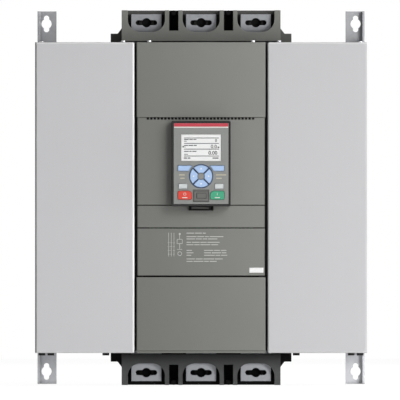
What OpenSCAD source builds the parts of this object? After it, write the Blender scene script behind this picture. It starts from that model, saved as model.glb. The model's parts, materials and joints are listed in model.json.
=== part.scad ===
// Soft starter for a large three-phase motor, with a bypass contactor inside and a keypad.
// X runs right, Y towards the wall, Z up. The wall is the plane Y = 0 and the origin is the
// centre of the four keyholes. Depths are measured from the wall towards the front.

/* [Overall size] */
// Width over the metal covers
unit_w = 435; // [425:1:450]
// Height over the terminal blocks and rails
unit_h = 493; // [485:1:510]
// Depth from the wall to the faces of the keys
unit_d = 282; // [278:1:295]

/* [Mounting rails] */
// Width of a rail
rail_w = 25; // [22:0.5:30]
// Thickness of a rail's sheet
rail_t = 3; // [2:0.5:3.5]
// Depth of a rail's flange
rail_flange_d = 25; // [15:1:60]
// Outer radius of a rail's fold
rail_bend_r = 4; // [3.8:0.1:6]
// Keyhole centre from the rail's outer face
keyhole_inset = 11.8; // [9:0.1:14]
// Keyhole centre from the rail's end
keyhole_end = 16.5; // [13:0.5:25]
// Diameter of a keyhole's round part
keyhole_head_d = 13.4; // [11:0.1:15]
// Width of a keyhole's slot
keyhole_slot_w = 7.1; // [5:0.1:9]
// Length of a keyhole's slot
keyhole_slot_l = 22.1; // [18:0.1:25]

/* [Metal covers] */
// How far the terminal blocks stand past the covers
terminal_overhang = 42.9; // [42.4:0.1:50]
// Thickness of the covers' sheet
cover_t = 1.2; // [0.8:0.1:1.6]
// Outer radius of the covers' folds
cover_bend_r = 2.2; // [1.8:0.1:4]
// Covers' front beyond the middle panels' front
cover_step = 1; // [-8:0.5:2]
// Covers' back edge from the wall
cover_wall_gap = 4; // [2:0.5:10]
// Depth of the short fold beside the centre column
cover_lip_d = 24; // [10:1:30]
// Black gap between a cover and the centre column
column_gap = 2.9; // [2:0.1:4]

/* [Front column] */
// Width of the top and bottom covers
column_w = 168.8; // [160:0.2:176]
// Wall of the plastic mouldings
panel_t = 3; // [2:0.1:3.5]
// How much narrower the middle panels are on each side
panel_inset = 0.9; // [0.2:0.1:1.2]
// Top and bottom covers' front beyond the middle panels' front
panel_step = 2; // [0:0.5:4]
// Depth of the panels' side skirts
skirt_d = 19; // [12:1:22]
// Radius of the panels' front edges
panel_edge_r = 1.5; // [0.5:0.1:1.8]
// Height of the top cover
top_cover_h = 98.3; // [90:0.1:105]
// Height of the vent slots under the top cover
vent_h = 3.1; // [2:0.1:5]
// Pitch of the vent slots
vent_pitch = 4.6; // [4:0.1:8]
// Width of one vent slot
vent_w = 3; // [1.5:0.1:3.4]
// Height of the keypad panel below its vents
keypad_panel_h = 111.6; // [110:0.1:125]
// Hairline above the middle panel
upper_seam = 1.1; // [0.6:0.1:3]
// Height of the middle panel
middle_panel_h = 28.6; // [24:0.1:40]
// Hairline below the middle panel
lower_seam = 1.3; // [0.6:0.1:3]
// Height of the lower panel
lower_panel_h = 61.7; // [50:0.1:70]
// Dark seam above the bottom cover
dark_seam = 2.2; // [0.6:0.1:4]

/* [Terminals] */
// Width of a terminal block
block_w = 209; // [190:0.5:230]
// Wall of a terminal block outside its outer pockets
block_wall = 8.15; // [5:0.05:12]
// Depth of a terminal block
block_t = 45; // [36:1:60]
// Width of a terminal pocket
pocket_w = 48.7; // [44:0.1:52]
// Corner radius of a pocket's arch
pocket_r = 16.5; // [8:0.5:20]
// Height of a pocket
pocket_h = 28.5; // [26:0.1:32]
// Width of a barrier slot between pockets
barrier_w = 12.1; // [8:0.1:14]
// Height of a barrier slot
barrier_h = 26.8; // [20:0.1:30]
// Width over the base's ears
ear_w = 238.2; // [234:0.2:240]
// Width of a terminal bar
bar_w = 40; // [36:0.5:42]
// Thickness of a terminal bar
bar_t = 8; // [5:0.5:10]
// Bar's end from the block's end
bar_end = 5; // [2:0.1:8]
// Diameter of a bar's bolt hole
bar_hole_d = 12; // [10:0.1:14]
// Bolt hole's centre from the block's end
bar_hole_end = 16.3; // [14:0.1:19]
// Length of the cross slot through a bolt hole
bar_slot_l = 28; // [20:0.1:32]
// Width of the cross slot
bar_slot_w = 6.3; // [4:0.1:8]

/* [Keypad] */
// Width of the keypad
keypad_w = 77.5; // [76:0.1:84]
// Height of the keypad
keypad_h = 111.7; // [110:0.1:118]
// Depth of the keypad in front of its panel
keypad_d = 20.8; // [19:0.1:26]
// Black border round the keypad's face
keypad_border = 2.8; // [2:0.1:3]
// How far the keys stand out of the face
key_proud = 1.2; // [1.1:0.1:2]
// How far a key goes in
key_travel = 1; // [0.5:0.1:1]
// Width of the display
display_w = 51.8; // [40:0.1:56]
// Height of the display
display_h = 34.7; // [28:0.1:36]
// Width of the keypad latch
latch_w = 31.4; // [24:0.1:40]
// Height of the keypad latch
latch_h = 5.2; // [4.4:0.1:7]
// How far the latch is pressed down
latch_travel = 2.5; // [1:0.1:3]

/* [Power stacks] */
// Space between the heat sinks
stack_space = 15; // [8:0.5:24]
// Space between the outer heat sinks and the rails
stack_gap = 2.3; // [1:0.1:6]
// Length of a heat sink
stack_h = 300; // [270:1:306]
// Depth of a heat sink
stack_d = 55; // [48:1:60]
// Thickness of a heat sink's base
stack_base_t = 15; // [10:0.5:20]
// Number of fins on a heat sink
fin_count = 15; // [9:1:18]
// Thickness of a fin
fin_t = 3; // [2:0.1:4]
// Side of a fan's square frame
fan_w = 80; // [76:1:82]
// Height of a fan
fan_h = 38; // [34:0.5:40]
// Blades on a fan's rotor
fan_blades = 7; // [5:1:9]

/* [Bypass contactor] */
// Distance that the contacts move to close
contact_travel = 4.8; // [3:0.1:4.8]
// End of the contactor's housing from the terminal block's end
housing_end = 96.5; // [90:0.5:110]
// Wall of the contactor's housing
housing_t = 6; // [4:0.5:6.5]

/* [Hidden] */
$fn = 64;
over = 1;
fit = 0.3;
root = 0.5;
plate_t = 2;

// Heights
half_h = unit_h / 2;
housing_h = unit_h - 2 * housing_end;
cover_z = half_h - terminal_overhang;
case_z = cover_z - cover_t;
top_z0 = cover_z - top_cover_h;
vent_z0 = top_z0 - vent_h;
keypad_panel_z0 = vent_z0 - keypad_panel_h;
middle_z1 = keypad_panel_z0 - upper_seam;
middle_z0 = middle_z1 - middle_panel_h;
lower_z1 = middle_z0 - lower_seam;
lower_z0 = lower_z1 - lower_panel_h;
bottom_z1 = lower_z0 - dark_seam;
block_gap = 2.2;
block_z0 = cover_z + block_gap;
pocket_z0 = half_h - pocket_h;
bar_hole_z = half_h - bar_hole_end;

// Depths
plate_d = rail_t + plate_t;
stack_front = plate_d + stack_d;
module_t = 30;
pad_t = 1;
strap_d0 = stack_front + module_t + pad_t;
strap_t = 6;
strap_gap = 3;
base_d0 = strap_d0 + strap_t + strap_gap;
base_t = 22;
base_front = base_d0 + base_t;
block_front = base_front + block_t;
pocket_floor = 9;
pocket_back = base_front + pocket_floor;
bar_seat = 6;
bar_d0 = pocket_back + bar_seat;
bar_d1 = bar_d0 + bar_t;
contact_rest = 0.2;
contact_gap = contact_travel + contact_rest;
tip_t = 2;
bridge_t = 6;
bridge_d1 = bar_d0 - contact_gap - tip_t;
beam_t = 10;
beam_gap = 10;
beam_d0 = bar_d1 + beam_gap;
armature_t = 8;
armature_d0 = beam_d0 + beam_t;
core_d0 = armature_d0 + armature_t + contact_gap;
core_d = 28;
housing_d = core_d0 + core_d + housing_t;
face_d = unit_d - key_proud;
panel_d = face_d - keypad_d;
column_d = panel_d + panel_step;
rim_d = panel_d - panel_t;
cover_d = panel_d + cover_step;

// Widths
phase_pitch = (block_w - pocket_w) / 2 - block_wall;
cover_x0 = column_w / 2 + column_gap;
cover_x1 = unit_w / 2;
rail_x1 = cover_x1 - cover_t;
frame_x = column_w / 2 - panel_t - panel_inset;
stack_room = rail_x1 - rail_w - stack_gap;
stack_w = (2 * stack_room - 2 * stack_space) / 3;
stack_pitch = stack_w + stack_space;
phase_x = [-phase_pitch, 0, phase_pitch];
stack_x = [-stack_pitch, 0, stack_pitch];
keyhole_x = rail_x1 - keyhole_inset;
keyhole_z = half_h - keyhole_end;
ear_gap = 1.2;
notch_x = ear_w / 2 + ear_gap;
tongue_l = 12;
tongue_d = base_d0 + tongue_l;
shroud_gap = 7;
shroud_d0 = block_front + shroud_gap;

// Fasteners
screw_head_r = 2.75;
screw_head_h = 2.6;
screw_r = 1.5;
screw_l = 9;
fix_setback = 6;
fix_d = base_d0 + fix_setback;
side_screw_inset = 7.5;
side_screw_x = cover_x1 - side_screw_inset;
inner_screw_inset = [14.9, 31];
inner_screw_x = cover_x0 + inner_screw_inset[0];
inner_screw_d = rim_d - inner_screw_inset[1];
column_screw_inset = [16.5, 12];
column_screw_x = column_w / 2 - column_screw_inset[0];
column_screw_d = rim_d - column_screw_inset[1];
clip_w = 9;
clip_t = 5.4;
clip_h = 4.4;
clip_stem_r = 2;
clip_stem_l = 6;
clip_inset = [5.2, 19.5, 7.7];
clip_x = [notch_x + clip_inset[0], cover_x1 - clip_inset[1], cover_x1 - clip_inset[2]];

// Keypad, with heights from its lower edge
keypad_drop = 1.8;
keypad_z0 = vent_z0 - keypad_drop - keypad_h;
face_t = 3;
face_x = keypad_w / 2 - keypad_border;
face_z0 = keypad_z0 + keypad_border;
face_z1 = keypad_z0 + keypad_h - keypad_border;
face_back = face_d - face_t;
case_t = 3;
case_r = 1.5;
case_setback = 1;
board_t = 1.6;
pillar_h = 5;
pillar_r = 3;
pillar_x = 8;
pillar_z = 10;
board_d0 = panel_d + case_t + pillar_h;
board_d1 = board_d0 + board_t;
nav_rise = 39.3;
nav_z = keypad_z0 + nav_rise;
nav_r = 14.5;
nav_core_r = 4.6;
nav_gap = 1.7;
nav_clear_r = 17.6;
soft_x = [11.9, 30.3];
soft_rise = [46.2, 53.3];
soft_z = [keypad_z0 + soft_rise[0], keypad_z0 + soft_rise[1]];
small_x = [18, 29.5];
small_rise = [23, 29.5];
small_z = [keypad_z0 + small_rise[0], keypad_z0 + small_rise[1]];
run_x = [12.2, 30.4];
run_rise = [8.8, 20];
run_z = [keypad_z0 + run_rise[0], keypad_z0 + run_rise[1]];
display_rise = 59.3;
display_z0 = keypad_z0 + display_rise;
display_sink = 0.6;
display_rim = [3, 2, 4];
port_x = 10.3;
port_rise = [5.9, 21.5];
port_z = [keypad_z0 + port_rise[0], keypad_z0 + port_rise[1]];
socket_x = 4.2;
socket_z = 2.4;
socket_t = 0.8;
flap_r = 1.4;
flap_sink = 0.8;
flap_d = face_d - flap_sink;
flap_grip = [6.8, 3.8, 0.8];
key_lip = 0.8;
nav_lip = 0.5;
key_lip_t = 2;
key_stem_r = 1.5;
soft_stem_x = 22;
nav_stem = 10.5;
small_r = 1;
run_r = 2;
run_wide_r = 4.5;
key_stem_l = face_back - key_lip_t - board_d1 - key_travel - fit;
spigot_x = 20;
spigot_d = 9;
spigot_rise = [36, 80];
spigot_z = [keypad_z0 + spigot_rise[0], keypad_z0 + spigot_rise[1]];
latch_gap = 0.4;
latch_z1 = keypad_z0 - latch_gap;
latch_leg = 2.7;
latch_reach = 10;
latch_bar_t = 4;
latch_bar_x = 4;
latch_groove = [3.4, 0.6];
latch_leg_h = latch_h - latch_groove[1] - latch_travel - 2 * fit;
latch_leg_z = [latch_z1 - latch_groove[1] - latch_leg_h, latch_z1 - latch_groove[1]];

// Frame details
back_slot_pitch = 14;
back_slot_l = 44;
back_slot_w = 7;
grille_pitch = 10;
grille_w = 6;
grille_edge = 12;
post_r = 7;
post_gap = 37;
post_z = stack_h / 2 + post_gap;
lip_short = 16;
lip_z = case_z - lip_short;
shroud_h = 10;
ear_block = 6;
ear_block_gap = 4;
boss_r = 4;
boss_inset = 5;
base_rise = 17.5;
base_z = block_z0 + base_rise;
ear_rise = 10.3;
ear_z = block_z0 + ear_rise;
ear_slope = 0.37;
ear_x = block_w / 2 + ear_slope * (ear_w - block_w) / 2;

// Contactor details
seat_inset = 2;
seat_gap = 10;
bolt_clear = 0.5;
bolt_r = bar_hole_d / 2 + bolt_clear;
bolt_web = 2;
boss_wall = 3;
barrier_floor = 6;
bump_r = 3.3;
bump_end = 3.4;
bump_setback = 6;
leg_w = 20;
leg_inner_z = 70;
leg_z = [leg_inner_z, leg_inner_z + leg_w];
leg_x = [for (x = phase_x) x == 0 ? [-leg_w / 2, leg_w / 2]
    : x > 0 ? [x, x + leg_w] : [x - leg_w, x]];
bar_inner_z = 30;
ct_space = 8;
ct_w = phase_pitch - ct_space;
ct_wall = 15;
ct_d = bar_d1 - base_front + ct_wall;
ct_r = 5;
ct_gap = 16;
ct_h = 30;
ct_z = [housing_h / 2 + ct_gap, housing_h / 2 + ct_gap + ct_h];
core_x = 60;
core_z = 24;
core_leg = 14;
core_mid = 12;
yoke_t = 10;
coil_x = 40;
coil_z = 50;
coil_r = 10;
coil_setback = 2;
carrier_post_w = 16;
carrier_post_z = 10;
beam_z = 20;
bridge_w = 32;
bridge_z = 46;
tip_inset = 4;
tip_end = 2;
tip_z0 = bar_inner_z + tip_end;

// Stack and fan details
module_w = 60;
module_h = 210;
module_foot_t = 12;
module_step = 6;
fan_gap = 3;
fan_d = plate_d + fan_w / 2 + fan_gap;
fan_z0 = -case_z + plate_t;
fan_wall = 2;
fan_bore_r = fan_w / 2 - fan_wall;
fan_corner_r = 4;
fan_hole_r = 2.2;
fan_hole_inset = 4.5;
fan_spoke_w = 4;
fan_hub_r = 16;
fan_plate_t = 4;
fan_pin_r = 2;
rotor_room = 5;
rotor_h = fan_h - fan_plate_t - rotor_room;
rotor_gap = 1;
guard_hub_r = 12;
guard_pitch = 6.5;
guard_wire = 1.8;
blade_t = 1.6;
blade_pitch = 38;

// Column details
frame_z = cover_z - panel_t;
mid_x = column_w / 2 - panel_inset;
wing_gap = 0.5;
wing_x = cover_x0 - wing_gap;
wing_d1 = panel_d - skirt_d - wing_gap;
wing_d0 = wing_d1 - panel_t;
lip_line = 3.4;
lip_groove = 1.4;
lip_depth = 1;
vent_margin = 20;
vent_count = floor((2 * mid_x - vent_margin) / vent_pitch);
board_x = 68;
strip_x = 64;
strip_z = 2;
strip_h = 14;
strip_d = 14;
wire_count = 20;
wire_pitch = 6.2;
wire_w = 4;
wire_h = 8;
wire_d = 3;
board_rise = [6, 14];
board_z = [lower_z0 + board_rise[0], lower_z1 + board_rise[1]];
board_boss = 9;
control_d = housing_d + panel_t + board_boss;
port_mid = (port_z[0] + port_z[1]) / 2;

// Shared shapes

// Block between limits of width, depth and height
module slab(x0, x1, d0, d1, z0, z1)
    translate([x0, -d1, z0])
        cube([x1 - x0, d1 - d0, z1 - z0]);

// Front outline (X, Z) given a thickness between two depths
module face(d0, d1)
    translate([0, -d0, 0])
        rotate([90, 0, 0])
            linear_extrude(d1 - d0)
                children();

// Plan outline (X, minus depth) raised between two heights
module plan(z0, z1)
    translate([0, 0, z0])
        linear_extrude(z1 - z0)
            children();

// Side outline (minus depth, Z) given a width
module side(x0, x1)
    translate([x0, 0, 0])
        rotate([90, 0, 90])
            linear_extrude(x1 - x0)
                children();

module both_sides() {
    children();
    mirror([1, 0, 0])
        children();
}

module both_ends() {
    children();
    mirror([0, 0, 1])
        children();
}

module rod_y(x, z, r, d0, d1)
    translate([x, -d0, z])
        rotate([90, 0, 0])
            cylinder(r = r, h = d1 - d0);

module rod_z(x, d, r, z0, z1)
    translate([x, -d, z0])
        cylinder(r = r, h = z1 - z0);

module rect(x0, x1, y0, y1)
    translate([x0, y0])
        square([x1 - x0, y1 - y0]);

module round_rect(x0, x1, y0, y1, r) {
    rect(x0 + r, x1 - r, y0, y1);
    rect(x0, x1, y0 + r, y1 - r);
    for (x = [x0 + r, x1 - r], y = [y0 + r, y1 - r])
        translate([x, y])
            circle(r);
}

// Slot along X, with round ends
module slot_2d(l, w) {
    square([l - w, w], center = true);
    for (s = [-1, 1])
        translate([s * (l - w) / 2, 0])
            circle(d = w);
}

// Quarter of a sheet's fold, in the first quadrant round its centre, with straight ends
module bend_2d(r, t) {
    intersection() {
        difference() {
            circle(r);
            circle(r - t);
        }
        square(r);
    }
    translate([r - t, -root])
        square([t, root]);
    translate([-root, r - t])
        square([root, t]);
}

// Frame and covers

module rail()
    color("lightgray")
        difference() {
            plan(-half_h, half_h) {
                rect(rail_x1 - rail_w, rail_x1 - rail_bend_r, -rail_t, 0);
                rect(rail_x1 - rail_t, rail_x1, -rail_flange_d, -rail_bend_r);
                translate([rail_x1 - rail_bend_r, -rail_bend_r])
                    bend_2d(rail_bend_r, rail_t);
            }
            both_ends()
                face(-over, rail_t + over)
                    translate([keyhole_x, keyhole_z]) {
                        circle(d = keyhole_head_d);
                        rotate(90)
                            slot_2d(keyhole_slot_l, keyhole_slot_w);
                    }
        }

module back_plate()
    color("silver")
        difference() {
            slab(-rail_x1 + rail_bend_r, rail_x1 - rail_bend_r, rail_t, plate_d, -case_z, case_z);
            face(rail_t - over, plate_d + over)
                for (x = stack_x, k = [-3:3], z = [-1, 1])
                    translate([x + k * back_slot_pitch, z * stack_h / 4])
                        rotate(90)
                            slot_2d(back_slot_l, back_slot_w);
        }

// Plate that closes the back of the case above or below, with tongues under the covers
module end_plate() {
    slab(-rail_x1 + rail_t, rail_x1 - rail_t, plate_d, base_d0 - over, case_z - plate_t, case_z);
    both_sides()
        slab(notch_x, rail_x1 - rail_t, plate_d, tongue_d, case_z - plate_t, case_z);
}

module top_grille()
    color("silver")
        difference() {
            end_plate();
            plan(case_z - plate_t - over, case_z + over)
                for (x = stack_x, k = [-5:5])
                    translate([x + k * grille_pitch, -(plate_d + base_d0) / 2])
                        rotate(90)
                            slot_2d(base_d0 - plate_d - 2 * grille_edge, grille_w);
            both_sides()
                rod_z(side_screw_x, fix_d, screw_r + fit, case_z - plate_t - over, case_z + over);
        }

module fan_plate()
    color("silver")
        mirror([0, 0, 1])
            difference() {
                end_plate();
                plan(case_z - plate_t - over, case_z + over)
                    for (x = stack_x)
                        translate([x, -fan_d])
                            guard_2d();
                both_sides()
                    for (x = clip_x)
                        rod_z(x, fix_d, clip_stem_r + fit, case_z - plate_t - over, case_z + over);
            }

// Openings of a finger guard: rings and spokes are left in the sheet
module guard_2d()
    difference() {
        circle(fan_bore_r);
        circle(guard_hub_r);
        for (r = [guard_hub_r + guard_pitch:guard_pitch:fan_bore_r - guard_wire])
            difference() {
                circle(r + guard_wire / 2);
                circle(r - guard_wire / 2);
            }
        for (a = [45, 135])
            rotate(a)
                square([2 * fan_w, 2 * guard_wire], center = true);
    }

module support_posts()
    color("silver")
        both_sides()
            both_ends()
                rod_y(stack_pitch / 2, post_z, post_r, plate_d, base_d0);

// Folded sheet cover: front, deep outer wall, short inner fold, flanges above and below
module cover()
    difference() {
        union() {
            plan(-cover_z + cover_bend_r, cover_z - cover_bend_r) {
                rect(cover_x0 + cover_bend_r, cover_x1 - cover_bend_r, -cover_d, -cover_d + cover_t);
                translate([cover_x1 - cover_bend_r, -cover_d + cover_bend_r])
                    rotate(-90)
                        bend_2d(cover_bend_r, cover_t);
                translate([cover_x0 + cover_bend_r, -cover_d + cover_bend_r])
                    rotate(180)
                        bend_2d(cover_bend_r, cover_t);
            }
            slab(cover_x1 - cover_t, cover_x1, cover_wall_gap, cover_d - cover_bend_r,
                -cover_z, cover_z);
            slab(cover_x0, cover_x0 + cover_t, cover_d - cover_lip_d, cover_d - cover_bend_r,
                -lip_z, lip_z);
            both_ends() {
                side(cover_x0 + cover_bend_r, cover_x1 - cover_bend_r)
                    translate([-cover_d + cover_bend_r, cover_z - cover_bend_r])
                        rotate(90)
                            bend_2d(cover_bend_r, cover_t);
                slab(cover_x0 + cover_bend_r, cover_x1 - cover_t / 2, shroud_d0,
                    cover_d - cover_bend_r, case_z, cover_z);
                slab(notch_x, cover_x1 - cover_t / 2, base_d0, shroud_d0 + root, case_z, cover_z);
                cover_corner(cover_x1 - cover_bend_r, 0);
                cover_corner(cover_x0 + cover_bend_r, -cover_bend_r);
            }
        }
        rod_z(side_screw_x, fix_d, screw_r + fit, case_z - over, cover_z + over);
        rod_z(inner_screw_x, inner_screw_d, screw_r + fit, case_z - over, cover_z + over);
        for (x = clip_x)
            rod_z(x, fix_d, clip_stem_r + fit, -cover_z - over, -case_z + over);
    }

// Ground corner where two folds meet
module cover_corner(x, side_x)
    translate([x, -cover_d + cover_bend_r, cover_z - cover_bend_r])
        intersection() {
            difference() {
                sphere(cover_bend_r);
                sphere(cover_bend_r - cover_t);
            }
            translate([side_x, -cover_bend_r, 0])
                cube(cover_bend_r);
        }

module left_cover()
    color("gainsboro")
        mirror([1, 0, 0])
            cover();

module right_cover()
    color("gainsboro")
        cover();

module screw(x, d) {
    rod_z(x, d, screw_head_r, cover_z, cover_z + screw_head_h);
    rod_z(x, d, screw_r, cover_z - screw_l, cover_z + root);
}

module cover_screws()
    color("whitesmoke")
        both_sides() {
            screw(side_screw_x, fix_d);
            screw(inner_screw_x, inner_screw_d);
            screw(column_screw_x, column_screw_d);
        }

// Push-in clips with a pill-shaped head
module bottom_clips()
    color("black")
        both_sides()
            for (x = clip_x) {
                translate([x, -fix_d, -cover_z - clip_h])
                    linear_extrude(clip_h)
                        slot_2d(clip_w, clip_t);
                rod_z(x, fix_d, clip_stem_r, -cover_z - root, -cover_z + clip_stem_l);
            }

// Contactor and terminals

// Outline of the contactor's base, with stepped and chamfered ears beside the terminal blocks
module base_2d()
    for (s = [-1, 1], t = [-1, 1])
        scale([s, t])
            polygon([[-over, -over], [ear_w / 2, -over], [ear_w / 2, ear_z], [ear_x, ear_z],
                [block_w / 2, base_z], [-over, base_z]]);

module contactor_base()
    color("dimgray")
        difference() {
            union() {
                face(base_d0, base_front)
                    base_2d();
                both_ends() {
                    for (x = phase_x)
                        slab(x - bar_w / 2 + seat_inset, x + bar_w / 2 - seat_inset,
                            base_front - root, bar_d0, leg_z[1] + seat_gap, housing_h / 2 - seat_gap);
                    both_sides()
                        slab(block_w / 2 + fit, ear_w / 2, base_front - root, block_front,
                            case_z - shroud_h, case_z);
                }
            }
            both_ends()
                for (x = leg_x)
                    slab(x[0] - fit, x[1] + fit, base_d0 - over, base_front + over,
                        leg_z[0] - fit, leg_z[1] + fit);
        }

// Moulded block with arched pockets for the cable lugs and slots for phase barriers
module terminal_block()
    color("slategray") {
        difference() {
            slab(-block_w / 2, block_w / 2, base_front, block_front, block_z0, half_h);
            for (x = phase_x) {
                face(pocket_back, block_front + over)
                    translate([x, 0])
                        arch_2d(pocket_w / 2, pocket_z0, half_h + over, pocket_r);
                slab(x - bar_w / 2 - fit, x + bar_w / 2 + fit, bar_d0 - fit, bar_d1 + fit,
                    block_z0 - over, pocket_z0 + pocket_r);
                rod_y(x, bar_hole_z, bolt_r, base_front + bolt_web, pocket_back + over);
            }
            for (s = [-1, 1])
                face(base_front + barrier_floor, block_front + over)
                    rect(s * phase_pitch / 2 - barrier_w / 2, s * phase_pitch / 2 + barrier_w / 2,
                        half_h - barrier_h, half_h + over);
        }
        for (x = phase_x)
            difference() {
                rod_y(x, bar_hole_z, bolt_r + boss_wall, pocket_back - root, bar_d0);
                rod_y(x, bar_hole_z, bolt_r, pocket_back - over, bar_d0 + over);
            }
        for (s = [-1, 1])
            rod_y(s * phase_pitch / 2, half_h - bump_end, bump_r, base_front + barrier_floor - root,
                block_front - bump_setback);
    }

// Pocket outline, round at its inner corners and open at its outer end
module arch_2d(w, z0, z1, r) {
    rect(-w + r, w - r, z0, z1);
    rect(-w, w, z0 + r, z1);
    for (x = [-w + r, w - r])
        translate([x, z0 + r])
            circle(r);
}

module upper_terminal_block()
    terminal_block();

module lower_terminal_block()
    mirror([0, 0, 1])
        terminal_block();

// Terminal bar from its pocket to the contacts, with a leg back to the thyristor module
module line_bar(i)
    color("lightsteelblue") {
        difference() {
            slab(phase_x[i] - bar_w / 2, phase_x[i] + bar_w / 2, bar_d0, bar_d1,
                bar_inner_z, half_h - bar_end);
            face(bar_d0 - over, bar_d1 + over)
                translate([phase_x[i], bar_hole_z]) {
                    circle(d = bar_hole_d);
                    slot_2d(bar_slot_l, bar_slot_w);
                }
        }
        slab(leg_x[i][0], leg_x[i][1], strap_d0, bar_d0 + root, leg_z[0], leg_z[1]);
        slab(min(leg_x[i][0], stack_x[i] - leg_w / 2), max(leg_x[i][1], stack_x[i] + leg_w / 2),
            strap_d0, strap_d0 + strap_t, leg_z[0], leg_z[1]);
    }

module load_bar(i)
    mirror([0, 0, 1])
        line_bar(i);

// Ring-type transformers, one round each load bar
module current_transformers()
    color("darkslategray")
        for (x = phase_x)
            difference() {
                plan(-ct_z[1], -ct_z[0])
                    round_rect(x - ct_w / 2, x + ct_w / 2, -base_front - ct_d, -base_front, ct_r);
                slab(x - bar_w / 2 - fit, x + bar_w / 2 + fit, bar_d0 - fit, bar_d1 + fit,
                    -ct_z[1] - over, -ct_z[0] + over);
            }

module contactor_housing()
    color("darkslategray")
        difference() {
            slab(-block_w / 2, block_w / 2, base_front, housing_d, -housing_h / 2, housing_h / 2);
            slab(-block_w / 2 + housing_t, block_w / 2 - housing_t, base_front - over,
                housing_d - housing_t, -housing_h / 2 - over, housing_h / 2 + over);
        }

// Laminated core with three legs that face the armature
module magnet_core()
    color("gray")
        plan(-core_z, core_z) {
            rect(-core_x, core_x, -core_d0 - core_d, -core_d0 - core_d + yoke_t);
            for (x = [[-core_x, -core_x + core_leg], [-core_mid, core_mid],
                    [core_x - core_leg, core_x]])
                rect(x[0], x[1], -core_d0 - core_d + yoke_t, -core_d0);
        }

module coil()
    color("darkred")
        difference() {
            face(core_d0 + coil_setback, core_d0 + core_d - yoke_t)
                round_rect(-coil_x, coil_x, -coil_z, coil_z, coil_r);
            slab(-core_mid - fit, core_mid + fit, core_d0, core_d0 + core_d,
                -core_z - fit, core_z + fit);
        }

module armature()
    color("gray")
        slab(-core_x, core_x, armature_d0, armature_d0 + armature_t, -core_z, core_z);

// Beam that joins the armature to the contact bridges, guided by the housing's walls
module contact_carrier()
    color("saddlebrown") {
        slab(-block_w / 2 + housing_t + fit, block_w / 2 - housing_t - fit, beam_d0,
            beam_d0 + beam_t, -beam_z, beam_z);
        for (x = phase_x)
            slab(x - carrier_post_w / 2, x + carrier_post_w / 2, bridge_d1, beam_d0 + root,
                -carrier_post_z, carrier_post_z);
    }

module contact_bridges()
    color("peru")
        for (x = phase_x) {
            slab(x - bridge_w / 2, x + bridge_w / 2, bridge_d1 - bridge_t, bridge_d1,
                -bridge_z, bridge_z);
            both_ends()
                slab(x - bridge_w / 2 + tip_inset, x + bridge_w / 2 - tip_inset, bridge_d1 - root,
                    bridge_d1 + tip_t, tip_z0, bridge_z);
        }

// Power stacks

// Extruded profile: a thick base in front and fins that reach the back plate
module heat_sink(i)
    color("silver")
        plan(-stack_h / 2, stack_h / 2)
            translate([stack_x[i], 0]) {
                rect(-stack_w / 2, stack_w / 2, -stack_front, -stack_front + stack_base_t);
                for (k = [0:fin_count - 1])
                    let (x = -stack_w / 2 + k * (stack_w - fin_t) / (fin_count - 1))
                        rect(x, x + fin_t, -stack_front + stack_base_t, -plate_d);
            }

// Two thyristors in one moulding, with a terminal pad at each end
module thyristor_module(i)
    color("ivory")
        translate([stack_x[i], 0, 0]) {
            slab(-module_w / 2, module_w / 2, stack_front, stack_front + module_foot_t,
                -module_h / 2, module_h / 2);
            slab(-module_w / 2 + module_step, module_w / 2 - module_step, stack_front,
                stack_front + module_t, -module_h / 2, module_h / 2);
            both_ends()
                slab(-leg_w / 2, leg_w / 2, stack_front + module_foot_t, strap_d0, leg_z[0], leg_z[1]);
        }

module fan_frames()
    color("black")
        for (x = stack_x)
            translate([x, -fan_d, fan_z0]) {
                difference() {
                    linear_extrude(fan_h)
                        difference() {
                            translate([-fan_w / 2, -fan_w / 2])
                                round_rect(0, fan_w, 0, fan_w, fan_corner_r);
                            circle(fan_bore_r);
                        }
                    for (a = [-1, 1], b = [-1, 1])
                        translate([a, b, 0] * (fan_w / 2 - fan_hole_inset))
                            translate([0, 0, -over])
                                cylinder(r = fan_hole_r, h = fan_h + 2 * over);
                }
                cylinder(r = fan_hub_r, h = fan_plate_t);
                cylinder(r = fan_pin_r, h = fan_plate_t + rotor_h);
                for (a = [45:90:315])
                    rotate(a)
                        translate([fan_hub_r - over, -fan_spoke_w / 2, 0])
                            cube([fan_bore_r - fan_hub_r + over + root, fan_spoke_w, fan_plate_t]);
            }

// Rotor with slanted blades on a hub that turns on the frame's pin
module fan_rotor(i)
    color("darkslategray")
        translate([stack_x[i], -fan_d, fan_z0 + fan_plate_t + fit])
            difference() {
                union() {
                    cylinder(r = fan_hub_r, h = rotor_h);
                    intersection() {
                        for (k = [0:fan_blades - 1])
                            rotate(k * 360 / fan_blades)
                                translate([fan_hub_r - over, 0, rotor_h / 2])
                                    rotate([blade_pitch, 0, 0])
                                        translate([0, -blade_t / 2, -rotor_h])
                                            cube([fan_bore_r, blade_t, 2 * rotor_h]);
                        difference() {
                            cylinder(r = fan_bore_r - rotor_gap, h = rotor_h);
                            translate([0, 0, -over])
                                cylinder(r = fan_hub_r - root, h = rotor_h + 2 * over);
                        }
                    }
                }
                translate([0, 0, -over])
                    cylinder(r = fan_pin_r + fit, h = rotor_h + 2 * over);
            }

// Front column

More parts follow.
